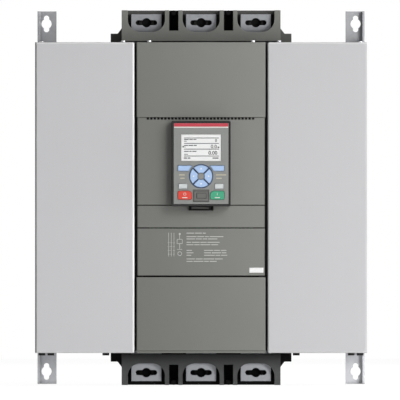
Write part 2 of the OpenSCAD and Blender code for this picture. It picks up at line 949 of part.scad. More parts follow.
// Black tray behind the front panels, with a shroud back to the terminal blocks
module front_frame()
    color("black")
        difference() {
            union() {
                difference() {
                    slab(-frame_x + fit, frame_x - fit, housing_d, rim_d, -frame_z, frame_z);
                    slab(-frame_x + fit + panel_t, frame_x - fit - panel_t, housing_d + panel_t,
                        rim_d + over, -frame_z + panel_t, frame_z - panel_t);
                }
                both_ends()
                    difference() {
                        slab(-frame_x + fit, frame_x - fit, shroud_d0, housing_d + root,
                            housing_h / 2 + over, frame_z);
                        slab(-frame_x + fit + panel_t, frame_x - fit - panel_t, shroud_d0 - over,
                            housing_d, housing_h / 2, frame_z - panel_t);
                    }
                both_sides() {
                    slab(frame_x - panel_t, wing_x, wing_d0, wing_d1, -frame_z, frame_z);
                    slab(frame_x - panel_t, inner_screw_x + ear_block, inner_screw_d - ear_block,
                        inner_screw_d + ear_block, lip_z + ear_block_gap, case_z);
                }
                for (x = [-1, 1], z = board_z)
                    rod_y(x * (board_x - boss_inset), z, boss_r, housing_d + panel_t - root, control_d);
            }
            both_sides() {
                rod_z(inner_screw_x, inner_screw_d, screw_r + fit, lip_z, case_z + over);
                rod_z(column_screw_x, column_screw_d, screw_r + fit, frame_z - panel_t - over,
                    frame_z + over);
            }
        }

// Control board with its row of screw terminals along the lower edge
module control_board()
    color("darkgreen") {
        slab(-board_x, board_x, control_d, control_d + board_t,
            board_z[0] - boss_inset, board_z[1] + boss_inset);
        translate([0, -control_d - board_t, board_z[0] + strip_z])
            difference() {
                slab(-strip_x, strip_x, -root, strip_d, 0, strip_h);
                for (k = [0:wire_count - 1])
                    let (x = (k - (wire_count - 1) / 2) * wire_pitch)
                        slab(x - wire_w / 2, x + wire_w / 2, wire_d, wire_d + wire_w, -over, wire_h);
            }
    }

// Panel with side skirts and rounded front edges; x is half its width, d its front
module panel(x, d, z0, z1)
    plan(z0, z1) {
        rect(-x + panel_edge_r, x - panel_edge_r, -d, -d + panel_t);
        both_sides_2d() {
            rect(frame_x, x, -d + panel_edge_r, -panel_d + skirt_d);
            translate([x - panel_edge_r, -d + panel_edge_r])
                intersection() {
                    circle(panel_edge_r);
                    translate([0, -panel_edge_r])
                        square(panel_edge_r);
                }
        }
    }

module both_sides_2d() {
    children();
    mirror([1, 0])
        children();
}

module top_cover()
    color("gray")
        difference() {
            union() {
                panel(column_w / 2, column_d, top_z0, cover_z);
                slab(-column_w / 2 + panel_t, column_w / 2 - panel_t, rim_d - skirt_d, column_d - root,
                    frame_z, cover_z);
            }
            both_sides()
                rod_z(column_screw_x, column_screw_d, screw_r + fit, frame_z - over, cover_z + over);
        }

module bottom_cover()
    color("gray")
        difference() {
            union() {
                panel(column_w / 2, column_d, -cover_z, bottom_z1);
                slab(-column_w / 2 + panel_t, column_w / 2 - panel_t, rim_d - skirt_d, column_d - root,
                    -cover_z, -frame_z);
            }
            slab(-column_w, column_w, column_d - lip_depth, column_d + over,
                -cover_z + lip_line - lip_groove, -cover_z + lip_line);
        }

// Panel behind the keypad, with a comb of vents along its top edge
module keypad_panel()
    color("gray")
        difference() {
            panel(mid_x, panel_d, keypad_panel_z0, top_z0 - fit);
            slab(-spigot_x - fit, spigot_x + fit, rim_d - over, panel_d + over,
                spigot_z[0] - fit, spigot_z[1] + fit);
            for (k = [0:vent_count - 1])
                slab((k - vent_count / 2) * vent_pitch, (k - vent_count / 2) * vent_pitch + vent_w,
                    rim_d - over, panel_d + over, vent_z0, top_z0 + over);
        }

module middle_panel()
    color("gray")
        difference() {
            panel(mid_x, panel_d, middle_z0, middle_z1);
            both_sides()
                slab(latch_w / 2 - latch_leg - fit, latch_w / 2 + fit, rim_d - over, panel_d + over,
                    latch_leg_z[0] - latch_travel - fit, middle_z1 + over);
        }

module lower_panel()
    color("gray")
        panel(mid_x, panel_d, lower_z0, lower_z1);

// Keypad

module keypad_case()
    color("black")
        difference() {
            union() {
                face(panel_d, face_d - case_setback)
                    round_rect(-keypad_w / 2, keypad_w / 2, keypad_z0, keypad_z0 + keypad_h, case_r);
                slab(-spigot_x, spigot_x, panel_d - spigot_d, panel_d + root, spigot_z[0], spigot_z[1]);
            }
            slab(-face_x - fit, face_x + fit, face_back, face_d, face_z0 - fit, face_z1 + fit);
            slab(-face_x + case_t, face_x - case_t, panel_d + case_t, face_d,
                face_z0 + case_t, face_z1 - case_t);
        }

// Circuit board on the case's pillars, with the port's socket
module keypad_board()
    color("darkgreen") {
        slab(-face_x + case_t + fit, face_x - case_t - fit, board_d0, board_d1,
            face_z0 + case_t + fit, face_z1 - case_t - fit);
        for (x = [-1, 1], z = [face_z0 + pillar_z, face_z1 - pillar_z])
            rod_y(x * (face_x - pillar_x), z, pillar_r, panel_d + case_t, board_d0 + root);
        difference() {
            slab(-socket_x, socket_x, board_d1 - root, face_back - over,
                port_mid - socket_z, port_mid + socket_z);
            slab(-socket_x + socket_t, socket_x - socket_t, board_d1 + socket_t, face_back,
                port_mid - socket_z + socket_t, port_mid + socket_z - socket_t);
        }
    }

module soft_key_2d(g)
    difference() {
        rect(soft_x[0] - g, soft_x[1] + g, soft_z[0] - g, soft_z[1] + g);
        translate([0, nav_z])
            circle(nav_clear_r - g);
    }

// One quarter of the navigation ring, above its centre, grown outwards by g
module nav_key_2d(g)
    intersection() {
        difference() {
            circle(nav_r + g);
            circle(nav_core_r - g);
        }
        translate([0, (nav_gap / 2 - g) * sqrt(2)])
            polygon([[0, 0], [2 * nav_r, 2 * nav_r], [-2 * nav_r, 2 * nav_r]]);
    }

module small_key_2d(g)
    round_rect(small_x[0] - g, small_x[1] + g, small_z[0] - g, small_z[1] + g, small_r + g);

// Start or stop key, with a wide round corner towards the navigation ring
module run_key_2d(g)
    difference() {
        round_rect(run_x[0] - g, run_x[1] + g, run_z[0] - g, run_z[1] + g, run_r + g);
        translate([run_x[0] - g, run_z[1] + g])
            difference() {
                translate([-over, -run_wide_r - g])
                    square(run_wide_r + g + over);
                translate([run_wide_r + g, -run_wide_r - g])
                    circle(run_wide_r + g);
            }
    }

// Grey front plate with its openings for the display, the keys and the port
module keypad_face()
    color("darkgray")
        difference() {
            slab(-face_x, face_x, face_back, face_d, face_z0, face_z1);
            slab(-display_w / 2 - fit, display_w / 2 + fit, face_back - over, face_d + over,
                display_z0 - fit, display_z0 + display_h + fit);
            slab(-port_x - fit, port_x + fit, face_back - over, face_d + over,
                port_z[0] - fit, port_z[1] + fit);
            face(face_back - over, face_d + over) {
                both_sides_2d() {
                    soft_key_2d(fit);
                    small_key_2d(fit);
                    run_key_2d(fit);
                }
                translate([0, nav_z])
                    for (a = [0:90:270])
                        rotate(a)
                            nav_key_2d(fit);
            }
        }

module display()
    color("white") {
        slab(-display_w / 2, display_w / 2, face_back - root, face_d - display_sink,
            display_z0, display_z0 + display_h);
        slab(-display_w / 2 - display_rim[0], display_w / 2 + display_rim[0], board_d1, face_back,
            display_z0 - display_rim[1], display_z0 + display_h + display_rim[2]);
    }

// Key cap that stands through the face, with a lip behind it and a stem towards the board
module key_body(stem_x, stem_z) {
    face(face_back - root, face_d + key_proud)
        children(0);
    face(face_back - key_lip_t, face_back)
        children(1);
    rod_y(stem_x, stem_z, key_stem_r, face_back - key_lip_t - key_stem_l, face_back - root);
}

module soft_key()
    key_body(soft_stem_x, (soft_z[0] + soft_z[1]) / 2) {
        soft_key_2d(0);
        soft_key_2d(key_lip);
    }

module small_key()
    key_body((small_x[0] + small_x[1]) / 2, (small_z[0] + small_z[1]) / 2) {
        small_key_2d(0);
        small_key_2d(key_lip);
    }

module run_key()
    key_body((run_x[0] + run_x[1]) / 2, (run_z[0] + run_z[1]) / 2) {
        run_key_2d(0);
        run_key_2d(key_lip);
    }

module nav_key(a)
    translate([0, 0, nav_z])
        rotate([0, -a, 0])
            key_body(0, nav_stem) {
                nav_key_2d(0);
                nav_key_2d(nav_lip);
            }

module left_soft_key()
    color("lightskyblue")
        mirror([1, 0, 0])
            soft_key();

module right_soft_key()
    color("lightskyblue")
        soft_key();

module up_key()
    color("lightskyblue")
        nav_key(0);

module left_key()
    color("lightskyblue")
        nav_key(90);

module down_key()
    color("lightskyblue")
        nav_key(180);

module right_key()
    color("lightskyblue")
        nav_key(270);

module info_key()
    color("whitesmoke")
        mirror([1, 0, 0])
            small_key();

module local_key()
    color("whitesmoke")
        small_key();

module stop_key()
    color("tomato")
        mirror([1, 0, 0])
            run_key();

module start_key()
    color("mediumseagreen")
        run_key();

// Flap over the port, on a round edge that turns in the face's opening
module port_cover()
    color("dimgray")
        difference() {
            side(-port_x, port_x) {
                rect(-flap_d - flap_r, -flap_d + flap_r, port_z[0], port_z[1] - flap_r);
                translate([-flap_d, port_z[1] - flap_r])
                    circle(flap_r);
            }
            slab(-flap_grip[0], flap_grip[0], flap_d + flap_r - flap_grip[2], flap_d + flap_r + over,
                port_mid - flap_grip[1], port_mid + flap_grip[1]);
        }

// Pressed-down tab under the keypad, held by two legs through the middle panel
module keypad_latch()
    color("black") {
        difference() {
            slab(-latch_w / 2, latch_w / 2, panel_d + fit, panel_d + latch_reach,
                latch_z1 - latch_h, latch_z1);
            slab(-latch_w / 2 + latch_leg, latch_w / 2 - latch_leg, panel_d, panel_d + latch_reach + over,
                latch_z1 - latch_groove[0], latch_z1 - latch_groove[1]);
        }
        both_sides()
            slab(latch_w / 2 - latch_leg, latch_w / 2, rim_d - fit - root, panel_d + fit + root,
                latch_leg_z[0], latch_leg_z[1]);
        slab(-latch_w / 2 - latch_bar_x, latch_w / 2 + latch_bar_x, rim_d - fit - latch_bar_t,
            rim_d - fit, latch_leg_z[0], latch_leg_z[1]);
    }

back_plate();
mirror([1, 0, 0]) rail();  // left_rail
rail();  // right_rail
top_grille();
fan_plate();
support_posts();
left_cover();
right_cover();
cover_screws();
bottom_clips();
contactor_base();
upper_terminal_block();
lower_terminal_block();
line_bar(0);  // line_bar_1
line_bar(1);  // line_bar_2
line_bar(2);  // line_bar_3
load_bar(0);  // load_bar_1
load_bar(1);  // load_bar_2
load_bar(2);  // load_bar_3
current_transformers();
contactor_housing();
magnet_core();
coil();
armature();
contact_carrier();
contact_bridges();
heat_sink(0);  // heat_sink_1
heat_sink(1);  // heat_sink_2
heat_sink(2);  // heat_sink_3
thyristor_module(0);  // thyristor_module_1
thyristor_module(1);  // thyristor_module_2
thyristor_module(2);  // thyristor_module_3
fan_frames();
fan_rotor(0);  // fan_rotor_1
fan_rotor(1);  // fan_rotor_2
fan_rotor(2);  // fan_rotor_3
front_frame();
control_board();
top_cover();
keypad_panel();
middle_panel();
lower_panel();
bottom_cover();
keypad_case();
keypad_board();
keypad_face();
display();
port_cover();
keypad_latch();
left_soft_key();
right_soft_key();
up_key();
down_key();
left_key();
right_key();
info_key();
local_key();
stop_key();
start_key();
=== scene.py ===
"""Looks of a wall-mounted soft starter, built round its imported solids.

Lengths are metres in the frame of the solids: X runs right, Y towards the wall, Z up.
"""

import json
import logging
import math
from collections.abc import Iterable
from dataclasses import dataclass, field, replace
from enum import Enum

import bmesh
import bpy
from mathutils import Color, Matrix, Vector

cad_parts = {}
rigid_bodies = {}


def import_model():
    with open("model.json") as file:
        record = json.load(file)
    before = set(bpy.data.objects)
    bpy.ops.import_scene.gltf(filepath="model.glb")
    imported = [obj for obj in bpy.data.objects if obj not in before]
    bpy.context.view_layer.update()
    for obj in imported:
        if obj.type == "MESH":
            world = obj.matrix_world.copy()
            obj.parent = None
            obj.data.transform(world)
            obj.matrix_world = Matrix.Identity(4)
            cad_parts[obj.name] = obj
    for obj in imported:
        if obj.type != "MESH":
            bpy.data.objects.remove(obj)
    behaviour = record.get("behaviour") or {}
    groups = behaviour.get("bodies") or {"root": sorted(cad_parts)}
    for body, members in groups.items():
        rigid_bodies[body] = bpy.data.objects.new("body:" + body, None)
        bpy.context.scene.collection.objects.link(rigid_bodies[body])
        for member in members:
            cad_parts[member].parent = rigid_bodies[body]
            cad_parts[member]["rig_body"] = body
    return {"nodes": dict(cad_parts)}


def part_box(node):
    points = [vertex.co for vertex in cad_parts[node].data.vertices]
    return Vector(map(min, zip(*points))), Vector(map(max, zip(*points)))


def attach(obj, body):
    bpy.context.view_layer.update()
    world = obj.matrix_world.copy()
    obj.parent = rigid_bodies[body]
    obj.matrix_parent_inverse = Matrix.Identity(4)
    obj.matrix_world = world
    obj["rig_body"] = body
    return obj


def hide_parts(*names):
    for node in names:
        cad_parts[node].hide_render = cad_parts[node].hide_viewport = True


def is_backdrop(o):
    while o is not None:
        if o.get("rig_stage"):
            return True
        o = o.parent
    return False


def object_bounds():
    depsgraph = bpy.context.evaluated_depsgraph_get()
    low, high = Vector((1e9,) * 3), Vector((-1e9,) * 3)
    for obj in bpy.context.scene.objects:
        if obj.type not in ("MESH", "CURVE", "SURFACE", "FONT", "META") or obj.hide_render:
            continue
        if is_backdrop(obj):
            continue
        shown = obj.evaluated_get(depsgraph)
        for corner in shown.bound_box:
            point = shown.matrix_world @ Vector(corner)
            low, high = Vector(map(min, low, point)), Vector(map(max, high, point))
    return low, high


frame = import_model()

LOG = logging.getLogger("soft_starter")
MM = 0.001
FULL_LEVEL = 255
PHASES = (1, 2, 3)
NODES: dict[str, bpy.types.Object] = frame["nodes"]

Triple = tuple[float, float, float]
Colour = Triple
Span = tuple[float, float]
Socket = bpy.types.NodeSocket
Value = float | Triple | Socket
# A flat mark's left, right, lower and upper edges.
Edges = tuple[float, float, float, float]
# A row of dashes: its lower edge, its left end and the dashes' lengths, in millimetres.
Row = tuple[float, float, tuple[float, ...]]


def screen(red: int, green: int, blue: int) -> Colour:
    """Turns a colour as seen on a screen into the linear colour of a shader.

    Args:
        red: Red from 0 to 255.
        green: Green from 0 to 255.
        blue: Blue from 0 to 255.

    Returns:
        The linear red, green and blue.
    """
    seen = Color((red / FULL_LEVEL, green / FULL_LEVEL, blue / FULL_LEVEL))
    return tuple(seen.from_srgb_to_scene_linear())


# Shader building

# Clouds and lines count per metre, and shares and limits are parts of 1.
SLOW_CLOUDS = 9.0
SLOW_SHARE = 0.6
CLOUD_DETAIL = 3.0
MOULDED_GLOSS = 0.18
ROLLING_LINES = 900.0
ROLLING_STRETCH = (1.0, 1.0, 0.02)
ROLLING_SHARE = 0.4
ROLLED_GLOSS = 0.25
EDGE_SAMPLES = 4
EDGE_LIMITS = (0.02, 0.22)
WEAR_CLOUDS = 160.0
WEAR_DETAIL = 4.0
WEAR_LIMITS = (0.35, 0.7)
# Samples and limits of the ambient occlusion that paints shade into corners.
CORNER_SAMPLES = 8
CORNER_LIMITS = (0.35, 0.85)
BUMP_STRENGTH = 0.6


class Mixed(Enum):
    """What a blend works on, with the places of its inputs and output on Blender's node."""

    VALUE = ("FLOAT", 2, 3, 0)
    COLOUR = ("RGBA", 6, 7, 2)


@dataclass
class Graph:
    """Adds nodes to a shader tree and joins them."""

    tree: bpy.types.NodeTree

    def add(self, kind: str) -> bpy.types.Node:
        """Adds a node of a kind and returns it."""
        return self.tree.nodes.new(kind)

    def put(self, socket: Socket, value: Value) -> None:
        """Links a socket to another one, or sets its own value.

        Args:
            socket: The input to feed.
            value: An output socket, a number or a colour.
        """
        if isinstance(value, Socket):
            self.tree.links.new(value, socket)
        elif isinstance(value, tuple) and socket.type == "RGBA":
            socket.default_value = (*value, 1.0)
        else:
            socket.default_value = value

    def math(self, operation: str, a: Value, b: Value = 0.0) -> Socket:
        """Joins two values by a sum.

        Args:
            operation: Blender's name of the sum.
            a: The first value.
            b: The second value.

        Returns:
            The result's socket.
        """
        node = self.add("ShaderNodeMath")
        node.operation = operation
        self.put(node.inputs[0], a)
        self.put(node.inputs[1], b)
        return node.outputs[0]

    def ramp(self, value: Value, low: float, high: float) -> Socket:
        """Stretches a value from between two limits to 0 to 1, and cuts it there.

        Args:
            value: The value to stretch.
            low: What becomes 0.
            high: What becomes 1.

        Returns:
            The result's socket.
        """
        node = self.add("ShaderNodeMapRange")
        node.clamp = True
        self.put(node.inputs["Value"], value)
        node.inputs["From Min"].default_value = low
        node.inputs["From Max"].default_value = high
        return node.outputs["Result"]

    def mix(self, share: Value, a: Value, b: Value, kind: Mixed = Mixed.COLOUR) -> Socket:
        """Blends two colours or two values.

        Args:
            share: How much of the second one shows.
            a: The first one.
            b: The second one.
            kind: What they are.

        Returns:
            The blend's socket.
        """
        node = self.add("ShaderNodeMix")
        node.data_type, first, second, result = kind.value
        self.put(node.inputs[0], share)
        self.put(node.inputs[first], a)
        self.put(node.inputs[second], b)
        return node.outputs[result]

    def between(self, share: Value, low: Value, high: Value) -> Socket:
        """Gives the value at a share of the way from a low one to a high one."""
        return self.mix(share, low, high, Mixed.VALUE)

    def swing(self, pattern: Socket, amount: Value) -> Socket:
        """Centres a pattern from 0 to 1 on 0 and scales it."""
        return self.math("MULTIPLY", self.math("SUBTRACT", pattern, 0.5), amount)

    def tint(self, colour: Value, level: Value) -> Socket:
        """Multiplies a colour by a level.

        Args:
            colour: The colour to change.
            level: The factor for every channel.

        Returns:
            The changed colour's socket.
        """
        node = self.add("ShaderNodeVectorMath")
        node.operation = "SCALE"
        self.put(node.inputs[0], colour)
        self.put(node.inputs["Scale"], level)
        return node.outputs[0]

    def dot(self, a: Value, b: Value) -> Socket:
        """Gives how far two directions agree.

        Args:
            a: The first direction.
            b: The second direction.

        Returns:
            The dot product's socket.
        """
        node = self.add("ShaderNodeVectorMath")
        node.operation = "DOT_PRODUCT"
        self.put(node.inputs[0], a)
        self.put(node.inputs[1], b)
        return node.outputs["Value"]

    def split(self, vector: Socket) -> dict[str, Socket]:
        """Parts a vector into X, Y and Z.

        Args:
            vector: The vector's socket.

        Returns:
            The three sockets by name.
        """
        node = self.add("ShaderNodeSeparateXYZ")
        self.put(node.inputs[0], vector)
        return {axis: node.outputs[axis] for axis in "XYZ"}

    def place(self, stretch: Triple = (1.0, 1.0, 1.0)) -> Socket:
        """Gives the surface's place on its piece.

        Args:
            stretch: Factors along X, Y and Z.

        Returns:
            The place's socket.
        """
        place = self.add("ShaderNodeTexCoord").outputs["Object"]
        if stretch == (1.0, 1.0, 1.0):
            return place
        mapping = self.add("ShaderNodeMapping")
        mapping.inputs["Scale"].default_value = stretch
        self.put(mapping.inputs["Vector"], place)
        return mapping.outputs["Vector"]

    def noise(self, place: Socket, scale: Value, detail: float = 2.0) -> Socket:
        """Gives a cloudy value from 0 to 1.

        Args:
            place: Where to read the clouds.
            scale: Clouds per metre.
            detail: How many finer layers they have.

        Returns:
            The value's socket.
        """
        node = self.add("ShaderNodeTexNoise")
        self.put(node.inputs["Vector"], place)
        self.put(node.inputs["Scale"], scale)
        node.inputs["Detail"].default_value = detail
        return node.outputs["Fac"]

    def call(self, group: bpy.types.NodeTree, **values: Value) -> bpy.types.Node:
        """Places a shared effect.

        Args:
            group: The effect's node group.
            **values: Its inputs by name.

        Returns:
            The placed node.
        """
        node = self.add("ShaderNodeGroup")
        node.node_tree = group
        for name, value in values.items():
            self.put(node.inputs[name], value)
        return node


class Effect(Enum):
    """Surface effects that several finishes share."""

    MOULDED = "moulded_grain"
    ROLLED = "rolled_sheet"
    EDGE_WEAR_AND_LIGHT = "worn_edges"

    def group(self) -> bpy.types.NodeTree:
        """Makes the effect's node group, or finds the one that is there.

        Returns:
            The group.
        """
        made = bpy.data.node_groups.get(self.value)
        if made is not None:
            return made
        tree = bpy.data.node_groups.new(self.value, "ShaderNodeTree")
        build = {
            Effect.MOULDED: build_moulded_grain,
            Effect.ROLLED: build_rolled_sheet,
            Effect.EDGE_WEAR_AND_LIGHT: build_worn_edges,
        }
        build[self](tree)
        return tree


def group_ends(
    tree: bpy.types.NodeTree, inputs: dict[str, str], outputs: dict[str, str]
) -> tuple[bpy.types.Node, bpy.types.Node]:
    """Makes a node group's sockets and its two end nodes.

    Args:
        tree: The group.
        inputs: Socket kinds by input name.
        outputs: Socket kinds by output name.

    Returns:
        The node with the inputs and the node with the outputs.
    """
    for way, sockets in (("INPUT", inputs), ("OUTPUT", outputs)):
        for name, kind in sockets.items():
            tree.interface.new_socket(name, in_out=way, socket_type=f"NodeSocket{kind}")
    return tree.nodes.new("NodeGroupInput"), tree.nodes.new("NodeGroupOutput")


@dataclass
class Skin:
    """A node group that lays a pattern over a colour, its roughness and its bumps."""

    tree: bpy.types.NodeTree
    graph: Graph = field(init=False)
    start: bpy.types.Node = field(init=False)
    end: bpy.types.Node = field(init=False)

    def __post_init__(self) -> None:
        """Makes the group's sockets."""
        self.graph = Graph(self.tree)
        self.start, self.end = group_ends(
            self.tree,
            {"Colour": "Color", "Grain": "Float", "Mottle": "Float", "Roughness": "Float"},
            {"Colour": "Color", "Roughness": "Float", "Height": "Float"},
        )

    def finish(self, tone: Socket, shine: Socket, gloss: float, height: Socket) -> None:
        """Joins the patterns to the group's outputs.

        Args:
            tone: The pattern that changes the colour.
            shine: The pattern that changes the roughness.
            gloss: How far the roughness changes.
            height: The pattern of the bumps.
        """
        graph, given, result = self.graph, self.start.outputs, self.end.inputs
        level = graph.math("ADD", graph.swing(tone, given["Mottle"]), 1.0)
        graph.put(result["Colour"], graph.tint(given["Colour"], level))
        rough = graph.math("ADD", given["Roughness"], graph.swing(shine, gloss))
        graph.put(result["Roughness"], rough)
        graph.put(result["Height"], height)


def build_moulded_grain(tree: bpy.types.NodeTree) -> None:
    """Builds the even grain of a moulding or a paint: fine bumps over slow clouds.

    Args:
        tree: The empty group.
    """
    skin = Skin(tree)
    graph = skin.graph
    place = graph.place()
    fine = graph.noise(place, skin.start.outputs["Grain"], CLOUD_DETAIL)
    slow = graph.noise(place, SLOW_CLOUDS, CLOUD_DETAIL)
    skin.finish(graph.between(SLOW_SHARE, fine, slow), slow, MOULDED_GLOSS, fine)


def build_rolled_sheet(tree: bpy.types.NodeTree) -> None:
    """Builds the skin of bare sheet metal: crystals of zinc or tin under rolling lines.

    Args:
        tree: The empty group.
    """
    skin = Skin(tree)
    graph = skin.graph
    cells = graph.add("ShaderNodeTexVoronoi")
    graph.put(cells.inputs["Vector"], graph.place())
    graph.put(cells.inputs["Scale"], skin.start.outputs["Grain"])
    crystal = graph.add("ShaderNodeSeparateColor")
    graph.put(crystal.inputs[0], cells.outputs["Color"])
    lines = graph.noise(graph.place(ROLLING_STRETCH), ROLLING_LINES)
    both = graph.between(ROLLING_SHARE, crystal.outputs[0], lines)
    skin.finish(both, both, ROLLED_GLOSS, lines)


def build_worn_edges(tree: bpy.types.NodeTree) -> None:
    """Builds the look of edges: another colour at sharp corners, which is wear on most finishes, a
    painted highlight on the covers and painted shade on the keys, and a rounder turn there.

    Args:
        tree: The empty group.
    """
    start, end = group_ends(
        tree,
        {"Colour": "Color", "Worn": "Color", "Amount": "Float", "Reach": "Float", "Even": "Float"},
        {"Colour": "Color", "Normal": "Vector"},
    )
    given = start.outputs
    graph = Graph(tree)
    rounded = graph.add("ShaderNodeBevel")
    rounded.samples = EDGE_SAMPLES
    graph.put(rounded.inputs["Radius"], given["Reach"])
    normal = rounded.outputs["Normal"]
    turn = graph.dot(normal, graph.add("ShaderNodeNewGeometry").outputs["Normal"])
    edge = graph.ramp(graph.math("SUBTRACT", 1.0, turn), *EDGE_LIMITS)
    clouds = graph.ramp(graph.noise(graph.place(), WEAR_CLOUDS, WEAR_DETAIL), *WEAR_LIMITS)
    patchy = graph.math("MAXIMUM", clouds, given["Even"])
    share = graph.math("MULTIPLY", graph.math("MULTIPLY", edge, patchy), given["Amount"])
    graph.put(end.inputs["Colour"], graph.mix(share, given["Colour"], given["Worn"]))
    graph.put(end.inputs["Normal"], normal)


# Finishes


@dataclass(frozen=True)
class Finish:
    """How a surface looks: its colour, shine and grain, its edges, which are worn on some finishes
    and carry painted light on others, and painted shade in corners.
    """

    name: str
    colour: Colour
    roughness: float = 0.5
    metallic: float = 0.0
    effect: Effect = Effect.MOULDED
    grain: float = 1600.0
    depth: float = 0.03 * MM
    mottle: float = 0.10
    # The next two fields give the edge colour and its share: wear on most finishes, a painted
    # highlight on the covers and painted shade on the keys.
    worn: Colour = screen(225, 225, 222)
    edge_wear_and_light_share: float = 0.25
    specular: float = 0.35
    coat: float = 0.0
    reach: float = 0.7 * MM
    even: float = 0.0
    crown: float = 0.0
    # Painted shade: how much ambient occlusion darkens corners and recesses, and how far it looks.
    painted_shade: float = 0.0
    painted_shade_reach: float = 60.0 * MM

    def material(self) -> bpy.types.Material:
        """Makes the finish's material, or finds the one that is there.

        Returns:
            The material.
        """
        made = bpy.data.materials.get(self.name)
        if made is not None:
            return made
        made = bpy.data.materials.new(self.name)
        made.use_nodes = True
        graph = Graph(made.node_tree)
        shader = made.node_tree.nodes["Principled BSDF"]
        skin = graph.call(
            self.effect.group(),
            Colour=self.base(graph),
            Grain=self.grain,
            Mottle=self.mottle,
            Roughness=self.roughness,
        )
        edged = graph.call(
            Effect.EDGE_WEAR_AND_LIGHT.group(),
            Colour=skin.outputs["Colour"],
            Worn=self.worn,
            Amount=self.edge_wear_and_light_share,
            Reach=self.reach,
            Even=self.even,
        )
        graph.put(shader.inputs["Base Color"], self.with_painted_light(graph, edged.outputs["Colour"]))
        graph.put(shader.inputs["Roughness"], skin.outputs["Roughness"])
        shader.inputs["Metallic"].default_value = self.metallic
        shader.inputs["Specular IOR Level"].default_value = self.specular
        shader.inputs["Coat Weight"].default_value = self.coat
        bump = graph.add("ShaderNodeBump")
        bump.inputs["Strength"].default_value = BUMP_STRENGTH
        bump.inputs["Distance"].default_value = self.depth
        graph.put(bump.inputs["Height"], skin.outputs["Height"])
        graph.put(bump.inputs["Normal"], self.crowned(graph, edged.outputs["Normal"]))
        graph.put(shader.inputs["Normal"], bump.outputs["Normal"])
        return made

    def with_painted_light(self, graph: Graph, colour: Socket) -> Socket:
        """Paints shade into a colour in corners and recesses, from ambient occlusion.

        Args:
            graph: The material's nodes.
            colour: The colour before.

        Returns:
            The colour's socket.
        """
        if not self.painted_shade:
            return colour
        corner = graph.add("ShaderNodeAmbientOcclusion")
        corner.samples = CORNER_SAMPLES
        corner.inputs["Distance"].default_value = self.painted_shade_reach
        unshaded = graph.ramp(corner.outputs["AO"], *CORNER_LIMITS)
        return graph.tint(colour, graph.between(unshaded, 1 - self.painted_shade, 1.0))

    def crowned(self, graph: Graph, normal: Socket) -> Socket:
        """Turns a face's sides back a little, as on a moulding crowned across its width.

        Args:
            graph: The material's nodes.
            normal: The normal before.

        Returns:
            The normal's socket.
        """
        if not self.crown:
            return normal
        across = graph.split(graph.place())["X"]
        height = graph.math("MULTIPLY", graph.math("MULTIPLY", across, across), -self.crown)
        bump = graph.add("ShaderNodeBump")
        bump.inputs["Distance"].default_value = 1.0
        graph.put(bump.inputs["Height"], height)
        graph.put(bump.inputs["Normal"], normal)
        return bump.outputs["Normal"]

    def base(self, graph: Graph) -> Value:
        """Gives the colour under the grain, which a finish with a pattern draws itself.

        Args:
            graph: The material's nodes.

        Returns:
            A colour or its socket.
        """
        return self.colour


@dataclass(frozen=True)
class MetalFinish(Finish):
    """Bare or plated metal with its crystals and rolling lines."""

    effect: Effect = Effect.ROLLED
    depth: float = 0.01 * MM
    edge_wear_and_light_share: float = 0.4
    specular: float = 0.5


@dataclass(frozen=True)
class KeyFinish(Finish):
    """A key cap's plastic, with painted shade along its edge for the dark gap round it."""

    roughness: float = 0.4
    mottle: float = 0.06
    edge_wear_and_light_share: float = 0.6
    reach: float = 1.2 * MM
    even: float = 1.0


@dataclass(frozen=True)
class InkFinish(Finish):
    """Print, film or a shaded line, with no edge colour."""

    mottle: float = 0.12
    edge_wear_and_light_share: float = 0.0


@dataclass(frozen=True)
class HeightShadedFinish(Finish):
    """A finish with painted light and shade, which changes its tone between two heights."""

    heights: Span = (-246.5 * MM, 246.5 * MM)
    levels: Span = (1.0, 1.0)

    def with_painted_light(self, graph: Graph, colour: Socket) -> Socket:
        """Paints shade into corners, then paints light and shade along the height.

        Args:
            graph: The material's nodes.
            colour: The colour before.

        Returns:
            The colour's socket.
        """
        share = graph.ramp(graph.split(graph.place())["Z"], *self.heights)
        return graph.tint(super().with_painted_light(graph, colour), graph.between(share, *self.levels))


def height_shaded(base: Finish, name: str, **changes: object) -> HeightShadedFinish:
    """Copies a finish as one whose painted light and shade change with the height.

    Args:
        base: The finish to copy.
        name: The copy's name.
        **changes: The fields that differ.

    Returns:
        The copy.
    """
    return HeightShadedFinish(**{**vars(base), "name": name, **changes})


@dataclass(frozen=True)
class FoldedPaint(HeightShadedFinish):
    """Paint on a folded cover with painted light: a painted highlight along one fold and at its
    ends, and painted shade along the other fold.

    Attributes:
        lit: Where along X the painted highlight starts and is full, by default beyond the object.
        shaded: The same of the painted shade.
        shade: The painted shade's colour.
        front_limit: Largest Y of the normal of a face that looks to the front.
        ends: Where along the height, from the middle, the painted highlights at the ends start and
            are full.
        ends_share: How strong the painted highlights at the ends are.
    """

    lit: Span = (1.0, 2.0)
    shaded: Span = (-1.0, -2.0)
    shade: Colour = screen(120, 120, 122)
    front_limit: float = -0.5
    ends: Span = (201.6 * MM, 201.9 * MM)
    ends_share: float = 0.35

    def with_painted_light(self, graph: Graph, colour: Socket) -> Socket:
        """Paints a highlight on the ends and on the front beside one fold, and paints shade beside
        the other.

        Args:
            graph: The material's nodes.
            colour: The colour before.

        Returns:
            The colour's socket.
        """
        facing = graph.split(graph.add("ShaderNodeNewGeometry").outputs["True Normal"])
        front = graph.math("LESS_THAN", facing["Y"], self.front_limit)
        place = graph.split(graph.place())
        end = graph.ramp(graph.math("ABSOLUTE", place["Z"]), *self.ends)
        colour = super().with_painted_light(graph, colour)
        colour = graph.mix(graph.math("MULTIPLY", end, self.ends_share), colour, self.worn)
        for limits, tone in ((self.lit, self.worn), (self.shaded, self.shade)):
            share = graph.math("MULTIPLY", front, graph.ramp(place["X"], *limits))
            colour = graph.mix(share, colour, tone)
        return colour


